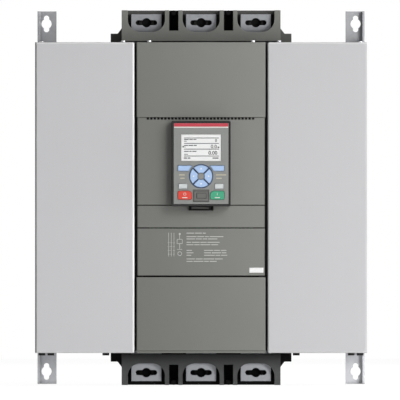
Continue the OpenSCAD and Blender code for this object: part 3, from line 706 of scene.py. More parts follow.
@dataclass(frozen=True)
class ScreenFinish(Finish):
    """A pale liquid-crystal panel with its fine grid of dots."""

    pitch: float = 0.26 * MM
    line_share: float = 0.12
    line_shade: float = 0.06

    def base(self, graph: Graph) -> Value:
        """Draws the grid of dots.

        Args:
            graph: The material's nodes.

        Returns:
            The colour's socket.
        """
        place = graph.split(graph.place((1 / self.pitch, 1.0, 1 / self.pitch)))
        lines = [
            graph.math("LESS_THAN", graph.math("FRACT", place[axis]), self.line_share)
            for axis in ("X", "Z")
        ]
        grid = graph.math("MULTIPLY", graph.math("MAXIMUM", *lines), self.line_shade)
        return graph.tint(self.colour, graph.math("SUBTRACT", 1.0, grid))


@dataclass(frozen=True)
class BoardFinish(Finish):
    """A lacquered circuit board with its paler tracks."""

    track: Colour = screen(52, 130, 78)
    tracks: float = 220.0
    track_width: float = 0.08

    def base(self, graph: Graph) -> Value:
        """Draws the tracks.

        Args:
            graph: The material's nodes.

        Returns:
            The colour's socket.
        """
        cells = graph.add("ShaderNodeTexVoronoi")
        cells.feature = "DISTANCE_TO_EDGE"
        graph.put(cells.inputs["Vector"], graph.place())
        cells.inputs["Scale"].default_value = self.tracks
        near = graph.math("LESS_THAN", cells.outputs["Distance"], self.track_width)
        return graph.mix(near, self.colour, self.track)


# Painted shade: the galvanised sheet darkens by ambient occlusion within 8 mm of corners.
GALVANISED = MetalFinish(
    "galvanised_sheet", screen(177, 178, 181), 0.42, 0.65, grain=130.0, mottle=0.22,
    worn=screen(225, 226, 228), edge_wear_and_light_share=0.5, painted_shade=0.5, painted_shade_reach=8.0 * MM,
)
# Painted light and reflection: the rails are lighter towards their lower ends and darker towards
# their upper ones.
RAIL = height_shaded(GALVANISED, "galvanised_rail", levels=(1.29, 0.77))
# Painted light: the covers' edges and ends carry a painted white highlight, and their paint darkens
# towards the top.
COVER_PAINT = FoldedPaint(
    "light_powder_coat", screen(205, 205, 207), 0.48, grain=1100.0, depth=0.02 * MM, mottle=0.03,
    worn=screen(255, 255, 255), edge_wear_and_light_share=0.8, reach=1.0 * MM, even=1.0,
    heights=(-190.0 * MM, 190.0 * MM), levels=(1.015, 0.9),
)
ZINC = MetalFinish(
    "bright_zinc", screen(232, 232, 234), 0.25, 0.9, grain=500.0, depth=0.005 * MM, mottle=0.12,
    worn=screen(250, 250, 250), edge_wear_and_light_share=0.5,
)
BLACK = Finish("black_moulding", screen(26, 26, 25), mottle=0.2, worn=screen(90, 90, 88))
# Black of the latch, and painted shade in the terminal blocks' slots and lower pockets.
JET = Finish(
    "latch_moulding_and_slot_shade", screen(9, 9, 9), 0.6, mottle=0.2, worn=screen(40, 40, 39), specular=0.1,
)
DARK = Finish("smoked_moulding", screen(44, 45, 43), 0.6, mottle=0.16, worn=screen(110, 111, 107))
GREY = Finish(
    "olive_grey_moulding", screen(125, 126, 121), grain=2200.0, mottle=0.05,
    worn=screen(168, 169, 164), edge_wear_and_light_share=0.3, crown=0.75,
)
# Painted shade: the terminal moulding darkens by ambient occlusion in corners and under the covers.
BLOCK = Finish(
    "terminal_moulding", screen(121, 122, 117), grain=2200.0, mottle=0.05,
    worn=screen(150, 151, 146), edge_wear_and_light_share=0.3, painted_shade=0.45,
)
# Painted shadow: a shaded copy of the terminal moulding for the lower block, almost black at its
# top under the column.
LOW_BLOCK = height_shaded(
    BLOCK, "low_terminal_painted_shadow", colour=screen(125, 127, 126), worn=screen(150, 151, 150),
    heights=(-230.6 * MM, -207.6 * MM), levels=(1.0, 0.06),
)
# Painted shade in the upper block's pockets, painted lighter near their upper edge for the light
# from above.
POCKET = HeightShadedFinish(
    "pocket_painted_shade", screen(36, 36, 35), 0.6, mottle=0.16, specular=0.2,
    heights=(240.3 * MM, 242.3 * MM), levels=(0.7, 5.0),
)
# Painted light: the contactor base's ears are painted lighter at the top and almost black at the
# bottom.
EARS = height_shaded(
    DARK, "ear_moulding", specular=0.15, heights=(-205.0 * MM, 205.0 * MM), levels=(0.06, 4.5),
)
TINNED = MetalFinish(
    "tinned_copper", screen(154, 156, 160), 0.38, 0.8, grain=260.0, mottle=0.14,
    worn=screen(205, 206, 210),
)
# Painted shade: the upper bars are darker than the lower ones, and darker still towards their lower
# ends.
LINE_TIN = height_shaded(
    TINNED, "tinned_line_bar", heights=(218.5 * MM, 228.5 * MM), levels=(0.4, 0.82),
)
IRON = Finish(
    "laminated_iron", screen(104, 104, 107), 0.5, 0.8, Effect.ROLLED, grain=900.0, mottle=0.3,
)
COIL = Finish("taped_winding", screen(120, 52, 40), 0.6, grain=700.0, mottle=0.25)
CARRIER = Finish("thermoset_moulding", screen(104, 70, 44), mottle=0.2)
COPPER = MetalFinish(
    "bare_copper", screen(200, 130, 98), 0.32, 0.95, grain=300.0, mottle=0.2,
    worn=screen(232, 172, 140),
)
ALUMINIUM = MetalFinish(
    "bare_extrusion", screen(196, 198, 200), 0.36, 0.9, grain=220.0, mottle=0.16,
    worn=screen(228, 229, 230),
)
MODULE = Finish("module_moulding", screen(214, 210, 196), 0.55, mottle=0.08)
BOARD = BoardFinish("lacquered_board", screen(18, 86, 46), 0.3, coat=0.4)
PLATE = Finish(
    "keypad_plate", screen(141, 143, 140), 0.45, grain=2600.0, depth=0.015 * MM, mottle=0.05,
    worn=screen(175, 176, 174), edge_wear_and_light_share=0.2,
)
PANEL = ScreenFinish(
    "screen_glass", screen(246, 247, 246), 0.2, depth=0.002 * MM, mottle=0.02, coat=0.5,
)
RUBBER = Finish("flap_rubber", screen(112, 112, 109), 0.7, mottle=0.12, worn=screen(140, 140, 136))
# Painted shade: each key's darker edge colour stands for the dark gap and shaded sides round it.
BLUE_KEY = KeyFinish(
    "blue_key_cap", screen(175, 203, 241), mottle=0.04, worn=screen(62, 82, 122), edge_wear_and_light_share=0.8,
)
WHITE_KEY = KeyFinish(
    "white_key_cap", screen(210, 215, 216), mottle=0.04, worn=screen(96, 98, 102), reach=0.9 * MM,
)
RED_KEY = KeyFinish("red_key_cap", screen(224, 72, 58), worn=screen(128, 30, 24))
GREEN_KEY = KeyFinish("green_key_cap", screen(70, 168, 130), worn=screen(24, 92, 66))
STRIPE = InkFinish("red_stripe", screen(196, 66, 80), 0.35, mottle=0.05)
PALE_INK = InkFinish("pale_ink", screen(232, 228, 222))
BEIGE_INK = InkFinish("beige_ink", screen(206, 198, 176))
FAINT_INK = InkFinish("faint_ink", screen(208, 209, 205), grain=700.0, mottle=0.25)
DOTS = InkFinish("dark_dots", screen(74, 76, 78), 0.4, mottle=0.1)
NAVY = InkFinish("navy_surround", screen(54, 72, 104), 0.45, mottle=0.1)
WHITE_INK = InkFinish("white_ink", screen(252, 252, 252), 0.4, mottle=0.04)
GROOVE = InkFinish("groove_shade", screen(58, 58, 56), 0.6, mottle=0.1)
STICKER = InkFinish("white_sticker", screen(252, 252, 251), 0.45, mottle=0.03)


# Meshes

MERGE_DISTANCE = 0.001 * MM
SAME_PLACE = 0.01 * MM
FLAT_ANGLE = math.radians(0.5)
SHARP_ANGLE = math.radians(40)
SMOOTH_ANGLE = math.radians(50)
STRAIGHT = 0.99
DISH_RIM = 0.7 * MM
ROUNDING_STEPS = 2
DIGIT_WEIGHT = 0.014
UPRIGHT = Matrix.Rotation(math.radians(90), 4, "X")
UNTURNED = Matrix.Identity(4)


def show(name: str, data: bpy.types.ID) -> bpy.types.Object:
    """Makes an object of a mesh, a text, a light or a camera and puts it in the scene.

    Args:
        name: The object's name.
        data: What it shows.

    Returns:
        The object.
    """
    made = bpy.data.objects.new(name, data)
    bpy.context.scene.collection.objects.link(made)
    return made


def show_mesh(
    name: str, bm: bmesh.types.BMesh, material: bpy.types.Material
) -> bpy.types.Object:
    """Turns a finished bmesh into an object of one material.

    Args:
        name: The object's name.
        bm: Its mesh, which is freed.
        material: Its material.

    Returns:
        The object.
    """
    mesh = bpy.data.meshes.new(name)
    bm.to_mesh(mesh)
    bm.free()
    mesh.materials.append(material)
    return show(name, mesh)


def add_piece(
    name: str, bm: bmesh.types.BMesh, body: str, finish: Finish
) -> bpy.types.Object:
    """Turns a finished bmesh into a piece that rides on a body.

    Args:
        name: The piece's name.
        bm: Its mesh, which is freed.
        body: The body that carries it.
        finish: Its finish.

    Returns:
        The piece.
    """
    piece = show_mesh(name, bm, finish.material())
    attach(piece, body)
    LOG.info("%s rides on %s", name, body)
    return piece


def add_block(
    bm: bmesh.types.BMesh, middle: Vector, size: Triple, lean: Matrix = UNTURNED
) -> None:
    """Adds a block to a bmesh.

    Args:
        bm: The bmesh.
        middle: The block's centre.
        size: Its lengths along its own axes.
        lean: Its turn.
    """
    place = Matrix.Translation(middle) @ lean @ Matrix.Diagonal(size).to_4x4()
    bmesh.ops.create_cube(bm, size=1.0, matrix=place)


def dress(finish: Finish, *nodes: str) -> None:
    """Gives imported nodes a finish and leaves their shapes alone.

    Args:
        finish: The finish.
        *nodes: The nodes' names.
    """
    for node in nodes:
        materials = NODES[node].data.materials
        materials.clear()
        materials.append(finish.material())
        LOG.info("%s dressed", node)


def merged_copy(node: str) -> bmesh.types.BMesh:
    """Copies a node's mesh with its triangles joined into whole faces.

    Args:
        node: The node's name.

    Returns:
        The copy.
    """
    bm = bmesh.new()
    bm.from_mesh(NODES[node].data)
    bmesh.ops.remove_doubles(bm, verts=bm.verts, dist=MERGE_DISTANCE)
    bmesh.ops.dissolve_limit(
        bm, angle_limit=FLAT_ANGLE, verts=bm.verts, edges=bm.edges, use_dissolve_boundaries=False
    )
    return bm


def sink_front(bm: bmesh.types.BMesh, depth: float) -> None:
    """Sinks a shallow dish into the front of a mesh.

    Args:
        bm: The mesh.
        depth: The dish's depth.
    """
    front = min(vertex.co.y for vertex in bm.verts)
    faces = [
        face for face in bm.faces
        if face.normal.y < -STRAIGHT and abs(face.calc_center_median().y - front) < SAME_PLACE
    ]
    bmesh.ops.inset_region(bm, faces=faces, thickness=DISH_RIM, use_even_offset=True)
    inner = {vertex for face in faces for vertex in face.verts}
    bmesh.ops.translate(bm, verts=list(inner), vec=(0.0, depth, 0.0))


def soften(node: str, finish: Finish, radius: float, dish: float = 0.0) -> bpy.types.Object:
    """Replaces a node by a copy with rounded edges and, on a key, a shallow dish.

    Args:
        node: The node's name.
        finish: Its finish.
        radius: Width of the rounding.
        dish: Depth of a dish in its front, or 0 for none.

    Returns:
        The new piece.
    """
    bm = merged_copy(node)
    if dish:
        sink_front(bm, dish)
    low, high = (
        Vector(end(vertex.co[axis] for vertex in bm.verts) for axis in range(3))
        for end in (min, max)
    )
    sharp = [
        edge for edge in bm.edges
        if len(edge.link_faces) == 2 and edge.calc_face_angle() > SHARP_ANGLE
    ]
    bmesh.ops.bevel(
        bm, geom=sharp, offset=radius, offset_type="OFFSET", segments=ROUNDING_STEPS,
        profile=0.5, affect="EDGES", material=-1, clamp_overlap=True,
    )
    for vertex in bm.verts:
        vertex.co = [min(max(vertex.co[axis], low[axis]), high[axis]) for axis in range(3)]
    piece = add_piece(f"{node}_finished", bm, NODES[node]["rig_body"], finish)
    packed_normals = piece.data.attributes.get("custom_normal")
    if packed_normals is not None:
        piece.data.attributes.remove(packed_normals)
    for polygon in piece.data.polygons:
        polygon.use_smooth = True
    piece.data.set_sharp_from_angle(angle=SMOOTH_ANGLE)
    level = piece.modifiers.new("level", "WEIGHTED_NORMAL")
    level.keep_sharp = True
    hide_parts(node)
    return piece


@dataclass
class Marks:
    """Thin printed or raised marks on a face that looks to the front.

    Attributes:
        depth: Distance of the face from the wall.
        height: How far the marks stand out of the face.
        bm: Their mesh.
    """

    depth: float
    height: float = 0.06 * MM
    bm: bmesh.types.BMesh = field(default_factory=bmesh.new)

    def bar(self, x0: float, x1: float, z0: float, z1: float) -> None:
        """Adds a rectangle.

        Args:
            x0: Left edge.
            x1: Right edge.
            z0: Lower edge.
            z1: Upper edge.
        """
        self.strip((x0 + x1) / 2, (z0 + z1) / 2, x1 - x0, z1 - z0)

    def strip(self, x: float, z: float, length: float, width: float, turn: float = 0.0) -> None:
        """Adds a turned rectangle.

        Args:
            x: Centre across.
            z: Centre up.
            length: Its length.
            width: Its width.
            turn: Its turn in degrees, from lying flat.
        """
        middle = Vector((x, -self.depth - self.height / 2, z))
        lean = Matrix.Rotation(math.radians(-turn), 4, "Y")
        add_block(self.bm, middle, (length, self.height, width), lean)

    def stand(self, x: float, z: float) -> Matrix:
        """Gives the move that sets a flat shape upright on the face."""
        return Matrix.Translation((x, -self.depth, z)) @ UPRIGHT

    def disc(self, x: float, z: float, radius: float, corners: int = 24, turn: float = 0.0) -> None:
        """Adds a disc, or a polygon with a few corners.

        Args:
            x: Centre across.
            z: Centre up.
            radius: Distance of the corners from the centre.
            corners: How many corners it has.
            turn: Where its first corner points, in degrees from the right.
        """
        made = bmesh.ops.create_circle(
            self.bm, cap_ends=True, radius=radius, segments=corners,
            matrix=self.stand(x, z) @ Matrix.Rotation(math.radians(turn - 90), 4, "Z"),
        )
        self.raise_faces({face for vertex in made["verts"] for face in vertex.link_faces})

    def ring(self, x: float, z: float, inner: float, outer: float, corners: int = 32) -> None:
        """Adds a ring.

        Args:
            x: Centre across.
            z: Centre up.
            inner: Inner radius.
            outer: Outer radius.
            corners: How many corners each edge has.
        """
        edges: list[bmesh.types.BMEdge] = []
        for radius in (inner, outer):
            made = bmesh.ops.create_circle(
                self.bm, cap_ends=False, radius=radius, segments=corners, matrix=self.stand(x, z)
            )
            edges += dict.fromkeys(edge for vertex in made["verts"] for edge in vertex.link_edges)
        bridged = bmesh.ops.bridge_loops(self.bm, edges=edges)
        self.raise_faces(bridged["faces"])

    def dashes(self, rows: Iterable[Row], height: float, gap: float) -> None:
        """Adds rows of plain dashes.

        Args:
            rows: The rows.
            height: The dashes' height.
            gap: Space between them.
        """
        for low, left, lengths in rows:
            x, z = left * MM, low * MM
            for length in lengths:
                self.bar(x, x + length * MM, z, z + height)
                x += length * MM + gap

    def digits(self, text: str, right: float, z: float, height: float) -> None:
        """Adds plain digits.

        Args:
            text: The digits.
            right: Their right end.
            z: Their lower edge.
            height: Their height.
        """
        curve = bpy.data.curves.new("digits", "FONT")
        curve.body = text
        curve.offset = DIGIT_WEIGHT
        holder = show("digits", curve)
        bpy.context.view_layer.update()
        drawn = holder.evaluated_get(bpy.context.evaluated_depsgraph_get())
        mesh = bpy.data.meshes.new_from_object(drawn)
        bpy.data.objects.remove(holder)
        bpy.data.curves.remove(curve)
        far = max(vertex.co.x for vertex in mesh.vertices)
        low, high = (end(vertex.co.y for vertex in mesh.vertices) for end in (min, max))
        mesh.transform(
            self.stand(right, z)
            @ Matrix.Scale(height / (high - low), 4)
            @ Matrix.Translation((-far, -low, 0.0))
        )
        before = set(self.bm.faces)
        self.bm.from_mesh(mesh)
        bpy.data.meshes.remove(mesh)
        self.raise_faces(face for face in self.bm.faces if face not in before)

    def raise_faces(self, faces: Iterable[bmesh.types.BMFace]) -> None:
        """Gives flat faces the marks' height.

        Args:
            faces: The faces, which lie on the face of the piece.
        """
        raised = bmesh.ops.extrude_face_region(self.bm, geom=list(faces))
        verts = [item for item in raised["geom"] if isinstance(item, bmesh.types.BMVert)]
        bmesh.ops.translate(self.bm, verts=verts, vec=(0.0, -self.height, 0.0))

    def finish(self, name: str, body: str, finish: Finish, slot: str) -> bpy.types.Object:
        """Ends the marks and makes them one piece.

        Args:
            name: The piece's name.
            body: The body that carries it.
            finish: Its finish.
            slot: Not used; the record's material slot nearest to that finish.

        Returns:
            The piece.
        """
        bmesh.ops.recalc_face_normals(self.bm, faces=self.bm.faces)
        return add_piece(name, self.bm, body, finish)


def front_of(node: str) -> float:
    """Returns the distance of a node's front from the wall."""
    return -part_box(node)[0].y


# Sub-assemblies


@dataclass
class MountingFrame:
    """Rails on the wall, back plate, outlet grille and fan plate."""

    edge: float = 0.3 * MM

    def build(self) -> None:
        """Rounds the rails' edges and dresses the plates."""
        for node in ("left_rail", "right_rail"):
            soften(node, RAIL, self.edge)
        dress(GALVANISED, "back_plate", "top_grille", "fan_plate", "support_posts")


@dataclass
class SideCovers:
    """Folded sheet covers with their screws and push-in clips."""

    edge: float = 0.3 * MM
    body: str = "chassis"
    left_levels: Span = (1.07, 0.95)
    lit_width: float = 2.1 * MM
    shade_width: float = 1.8 * MM
    blend: float = 0.4 * MM
    cross_length: float = 3.0 * MM
    cross_width: float = 0.7 * MM
    cross_height: float = 0.04 * MM

    def build(self) -> None:
        """Dresses the covers with painted light on their folds and ends, rounds the clips and
        screws, and adds the screws' crosses.
        """
        low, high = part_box("left_cover")
        # The left cover is painted lighter than the right, with a painted highlight along its inner
        # fold and painted shade along its outer fold.
        left_paint = replace(
            COVER_PAINT,
            name="left_powder_coat",
            levels=self.left_levels,
            lit=(high.x - self.lit_width - self.blend, high.x - self.lit_width),
            shaded=(low.x + self.shade_width + self.blend, low.x + self.shade_width),
        )
        dress(left_paint, "left_cover")
        dress(COVER_PAINT, "right_cover")
        soften("bottom_clips", BLACK, self.edge)
        self.add_crosses(soften("cover_screws", ZINC, self.edge))

    def add_crosses(self, screws: bpy.types.Object) -> None:
        """Marks the cross drive on each screw's head.

        Args:
            screws: The finished screws, which stand upright.
        """
        top = max(vertex.co.z for vertex in screws.data.vertices)
        heads = [
            polygon.center.copy() for polygon in screws.data.polygons
            if polygon.normal.z > STRAIGHT and polygon.center.z > top - self.cross_height
        ]
        bm = bmesh.new()
        for head in heads:
            add_block(bm, head, (self.cross_length, self.cross_width, self.cross_height))
            add_block(bm, head, (self.cross_width, self.cross_length, self.cross_height))
        add_piece("screw_crosses", bm, self.body, IRON)


@dataclass
class Terminals:
    """Terminal blocks, bars and the contactor's base with its ears."""

    block_edge: float = 0.5 * MM
    bar_edge: float = 0.4 * MM
    front_skin: float = 1.0 * MM
    floor_height: float = 15.0 * MM
    slot_offset: float = 36.0 * MM
    pin_reach: float = 3.6 * MM
    boss_reach: float = 16.0 * MM
    pocket_index: int = 1
    slot_index: int = 2

    def build(self) -> None:
        """Rounds the mouldings and bars, paints shade into the blocks' pockets and slots, and
        dresses what is inside.
        """
        self.paint_pocket_shade(soften("upper_terminal_block", BLOCK, self.block_edge), POCKET)
        self.paint_pocket_shade(soften("lower_terminal_block", LOW_BLOCK, self.block_edge), JET)
        for row, finish in (("line", LINE_TIN), ("load", TINNED)):
            for phase in PHASES:
                soften(f"{row}_bar_{phase}", finish, self.bar_edge)
        soften("contactor_base", EARS, self.block_edge)
        dress(DARK, "contactor_housing", "current_transformers")

    def paint_pocket_shade(self, block: bpy.types.Object, finish: Finish) -> None:
        """Paints shade into a block's pockets behind the bars, and paints its slots and their pins
        black as shade.

        Args:
            block: The finished block.
            finish: The pockets' painted shade.
        """
        block.data.materials.append(finish.material())
        block.data.materials.append(JET.material())
        front, back = (end(vertex.co.y for vertex in block.data.vertices) for end in (min, max))
        floor = back - self.floor_height
        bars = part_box("line_bar_2")[0].y
        pockets = (-2 * self.slot_offset, 0.0, 2 * self.slot_offset)
        for polygon in block.data.polygons:
            x, y, _ = polygon.center
            in_slot = abs(abs(x) - self.slot_offset) < self.pin_reach
            on_boss = y > bars and any(abs(x - pocket) < self.boss_reach for pocket in pockets)
            if in_slot and y > front + self.front_skin:
                polygon.material_index = self.slot_index
            elif y > floor or on_boss:
                polygon.material_index = self.pocket_index


@dataclass
class PowerStacks:
    """Heat sinks, thyristor modules and fans."""

    def build(self) -> None:
        """Dresses each stack and its fan."""
        for phase in PHASES:
            dress(ALUMINIUM, f"heat_sink_{phase}")
            dress(MODULE, f"thyristor_module_{phase}")
            dress(BLACK, f"fan_rotor_{phase}")
        dress(BLACK, "fan_frames")


@dataclass
class BypassContactor:
    """Magnet, coil and moving contacts inside the housing."""

    def build(self) -> None:
        """Dresses the pieces of the mechanism."""
        dress(IRON, "magnet_core", "armature")
        dress(COIL, "coil")
        dress(CARRIER, "contact_carrier")
        dress(COPPER, "contact_bridges")


@dataclass(frozen=True)
class WiringFigure:
    """A plain wiring diagram: three lines with contacts beside a dot, a box and a ring."""

    lines: Triple = (-42.5 * MM, -39.0 * MM, -35.5 * MM)
    line_ends: Span = (-77.0 * MM, -46.0 * MM)
    line_half: float = 0.3 * MM
    contacts: tuple[float, ...] = (-59.5 * MM, -64.5 * MM, -69.5 * MM, -74.5 * MM)
    contact_half: float = 1.1 * MM
    bar_height: float = 0.7 * MM
    motor: float = -28.0 * MM
    stem_half: float = 0.35 * MM
    box_half: float = 3.4 * MM
    dot: Span = (-47.6 * MM, 1.3 * MM)
    dot_foot: float = -48.6 * MM
    box_top: float = -55.0 * MM
    box_foot: float = -60.6 * MM
    stem_foot: float = -68.2 * MM
    ring: Triple = (-73.4 * MM, 2.2 * MM, 2.9 * MM)

    def draw(self, marks: Marks) -> None:
        """Adds the diagram to a print.

        Args:
            marks: The print's marks.
        """
        for x in self.lines:
            marks.bar(x - self.line_half, x + self.line_half, *self.line_ends)
            for z in self.contacts:
                marks.bar(x - self.contact_half, x + self.contact_half, z, z + self.bar_height)
        left, right = self.motor - self.box_half, self.motor + self.box_half
        marks.disc(self.motor, *self.dot)
        for z in (self.box_top, self.box_foot, self.stem_foot):
            marks.bar(left, right, z, z + self.bar_height)
        for x, low, high in (
            (self.motor, self.box_top, self.dot_foot),
            (left, self.box_foot, self.box_top),
            (right, self.box_foot, self.box_top),
            (self.motor, self.stem_foot, self.box_foot),
        ):
            marks.bar(x - self.stem_half, x + self.stem_half, low, high)
        marks.ring(self.motor, *self.ring)


@dataclass
class FrontColumn:
    """Front mouldings, the frame behind them, and the marks on the lower panel."""

    edge: float = 0.4 * MM
    body: str = "chassis"
    sticker: Edges = (63.3 * MM, 81.8 * MM, -98.4 * MM, -91.8 * MM)
    sticker_height: float = 0.12 * MM
    ink_height: float = 0.04 * MM
    dash_height: float = 1.0 * MM
    dash_gap: float = 1.1 * MM
    rows: tuple[Row, ...] = (
        (-47.0, -19, (10, 9, 4)),
        (-51.6, -19, (13, 9, 5, 18)),
        (-54.6, -19, (11, 8, 6, 12)),
        (-59.0, -19, (6, 10, 8, 16)),
        (-62.2, -19, (9, 7, 13, 9)),
        (-69.6, -19, (7,)),
        (-69.6, 4, (12, 8, 7)),
        (-72.8, -19, (9,)),
        (-72.8, 4, (9, 12, 6)),
        (-76.0, -19, (6,)),
        (-76.0, 4, (14, 6, 8)),
        (-80.8, -19, (11, 9, 14, 10)),
        (-84.0, -19, (8, 13, 6, 9)),
    )

    def build(self) -> None:
        """Rounds the panels' ends and adds the print and the sticker."""
        for node in ("top_cover", "keypad_panel", "middle_panel", "lower_panel", "bottom_cover"):
            soften(node, GREY, self.edge)
        dress(BLACK, "front_frame")
        dress(BOARD, "control_board")
        self.add_print()
        label = Marks(front_of("lower_panel"), self.sticker_height)
        label.bar(*self.sticker)
        label.finish("blank_sticker", self.body, STICKER, "white_key")

    def add_print(self) -> None:
        """Adds rows of plain dashes and a plain wiring diagram to the lower panel."""
        marks = Marks(front_of("lower_panel"), self.ink_height)
        marks.dashes(self.rows, self.dash_height, self.dash_gap)
        WiringFigure().draw(marks)
        marks.finish("lower_panel_dashes", self.body, FAINT_INK, "white_key")


@dataclass(frozen=True)
class Readings:
    """Plain readings on the display: lines, dashes and digits."""

    ink_height: float = 0.05 * MM
    lines: tuple[float, ...] = (77.6 * MM, 70.5 * MM, 63.0 * MM, 54.0 * MM)
    line_ends: Span = (-22.4 * MM, 23.4 * MM)
    line_height: float = 0.95 * MM
    upper_rows: tuple[Row, ...] = (
        (75.6, -22.2, (6, 4.5, 4)),
        (67.8, -22.2, (5, 6, 4)),
        (60.0, -22.2, (6, 3, 5.5)),
    )
    upper_height: float = 1.2 * MM
    small_rows: tuple[Row, ...] = (
        (73.5, -22.2, (3.4,)),
        (65.9, -22.2, (2.2,)),
        (56.3, -22.2, (5.0,)),
    )
    small_height: float = 0.8 * MM
    foot_rows: tuple[Row, ...] = ((51.1, -22.6, (4.2, 3.6)), (51.1, 15.0, (7.8,)))
    foot_height: float = 1.4 * MM
    gap: float = 0.8 * MM
    square: Triple = (-23.4 * MM, 66.6 * MM, 1.3 * MM)
    block: Edges = (21.7 * MM, 23.8 * MM, 65.0 * MM, 66.8 * MM)
    digits: tuple[tuple[str, float, float, float], ...] = (
        ("0", 20.8 * MM, 72.9 * MM, 3.9 * MM),
        ("0.0", 20.7 * MM, 64.5 * MM, 4.9 * MM),
        ("0.00", 21.2 * MM, 56.2 * MM, 5.0 * MM),
    )

    def draw(self, body: str) -> None:
        """Adds the readings to the display.

        Args:
            body: The body that carries them.
        """
        marks = Marks(front_of("display"), self.ink_height)
        for z in self.lines:
            marks.bar(*self.line_ends, z, z + self.line_height)
        marks.dashes(self.upper_rows, self.upper_height, self.gap)
        marks.dashes(self.small_rows, self.small_height, self.gap)
        marks.dashes(self.foot_rows, self.foot_height, self.gap)
        marks.disc(*self.square, corners=4, turn=45.0)
        marks.bar(*self.block)
        for reading in self.digits:
            marks.digits(*reading)
        marks.finish("screen_readings", body, DOTS, "black_plastic")


@dataclass
class Keypad:
    """Detachable keypad: case, face, screen, keys, port flap and latch."""

    body: str = "keypad"
    case_edge: float = 0.5 * MM
    face_edge: float = 0.25 * MM
    key_edge: float = 0.3 * MM
    key_dish: float = 0.15 * MM
    nav_height: float = 28.0 * MM
    nav_ring: tuple[float, float, int] = (14.85 * MM, 15.9 * MM, 64)
    nav_web: Triple = (5.0 * MM, 14.9 * MM, 1.1 * MM)
    web_angles: tuple[int, ...] = (45, 135, 225, 315)
    stripe: Span = (92.9 * MM, 97.4 * MM)
    stripe_height: float = 0.08 * MM
    stripe_margin: float = 0.4 * MM
    pale_line: Span = (91.4 * MM, 92.9 * MM)
    film_height: float = 0.05 * MM
    label_rows: tuple[Row, ...] = (
        (29.1, -28.9, (7.5,)),
        (24.7, -27.2, (5.6,)),
        (29.1, 19.6, (13.2,)),
        (24.7, 19.8, (7.2,)),
    )
    label_height: float = 1.3 * MM
    label_gap: float = 0.8 * MM
    flap_line: float = 0.6 * MM
    flap_roll: float = 1.4 * MM
    flap_grip: Triple = (6.4 * MM, 3.4 * MM, 0.8 * MM)
    arrow_offset: float = 9.8 * MM
    arrow_radius: float = 1.6 * MM
    arrow_angles: tuple[tuple[int, str], ...] = (
        (90, "up_key"), (180, "left_key"), (270, "down_key"), (0, "right_key"),
    )
    stop_place: Span = (-21.3 * MM, 4.6 * MM)
    stop_ring: Span = (1.3 * MM, 1.9 * MM)
    stop_bar: Edges = (-24.6 * MM, -18.0 * MM, -0.6 * MM, 0.6 * MM)
    start_stroke: Edges = (20.95 * MM, 21.65 * MM, 2.9 * MM, 6.3 * MM)
    start_bar: Edges = (18.0 * MM, 24.6 * MM, -0.6 * MM, 0.6 * MM)

    def build(self) -> None:
        """Builds the keypad from its case outwards."""
        self.build_case()
        self.build_keys()
        Readings().draw(self.body)
        self.add_face_marks()
        self.add_flap_lines()
        self.add_key_marks()

    def build_case(self) -> None:
        """Rounds the case, the face, the flap and the latch."""
        soften("keypad_case", BLACK, self.case_edge)
        soften("keypad_face", PLATE, self.face_edge)
        soften("port_cover", RUBBER, self.face_edge)
        soften("keypad_latch", JET, self.face_edge)
        dress(BOARD, "keypad_board")
        dress(PANEL, "display")

    def build_keys(self) -> None:
        """Rounds and dishes the ten keys."""
        colours = {
            BLUE_KEY: (
                "left_soft_key", "right_soft_key", "up_key", "down_key", "left_key", "right_key",
            ),
            WHITE_KEY: ("info_key", "local_key"),
            RED_KEY: ("stop_key",),
            GREEN_KEY: ("start_key",),
        }
        for finish, keys in colours.items():
            for key in keys:
                soften(key, finish, self.key_edge, self.key_dish)

    def add_face_marks(self) -> None:
        """Adds the stripe, the key surround and the lamp labels to the face."""
        low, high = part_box("keypad_face")
        depth = -low.y
        left, right = low.x + self.stripe_margin, high.x - self.stripe_margin
        stripe = Marks(depth, self.stripe_height)
        stripe.bar(left, right, *self.stripe)
        stripe.finish("face_stripe", self.body, STRIPE, "red_key")
        pale = Marks(depth)
        pale.bar(left, right, *self.pale_line)
        pale.finish("face_pale_line", self.body, PALE_INK, "white_key")
        surround = Marks(depth)
        surround.ring(0.0, self.nav_height, *self.nav_ring)
        inner, outer, width = self.nav_web
        for angle in self.web_angles:
            surround.strip(*self.around(angle, (inner + outer) / 2), outer - inner, width, angle)
        surround.finish("key_surround", self.body, NAVY, "blue_key")
        labels = Marks(depth, self.film_height)
        labels.dashes(self.label_rows, self.label_height, self.label_gap)
        labels.finish("lamp_labels", self.body, BEIGE_INK, "white_key")

    def add_flap_lines(self) -> None:
        """Adds painted shade as a dark line round the flap's edge and in its grip."""
        low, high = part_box("port_cover")
        front, line = front_of("port_cover"), self.flap_line
        left, right = low.x + line, high.x - line
        bottom, top = low.z + line, high.z - self.flap_roll
        outline = Marks(front, self.film_height)
        outline.bar(left, right, bottom, bottom + line)
        outline.bar(left, right, top - line, top)
        outline.bar(left, left + line, bottom + line, top - line)
        outline.bar(right - line, right, bottom + line, top - line)
        outline.finish("flap_outline", "port_flap", GROOVE, "port_rubber")
        half, rise, sink = self.flap_grip
        middle = (low.z + high.z) / 2
        bottom, top = middle - rise, middle + rise
        grip = Marks(front - sink, self.film_height)
        grip.bar(-half, half, bottom, bottom + line)
        grip.bar(-half, half, top - line / 2, top)
        grip.bar(-half, -half + 2 * line, bottom + line, top - line / 2)
        grip.finish("flap_grip_shade", "port_flap", GROOVE, "port_rubber")

    def around(self, angle: float, radius: float) -> Span:
        """Gives a point round the navigation keys.

        Args:
            angle: Degrees from the right.
            radius: Distance from their centre.

        Returns:
            Its place across and up.
        """
        turn = math.radians(angle)
        return radius * math.cos(turn), self.nav_height + radius * math.sin(turn)

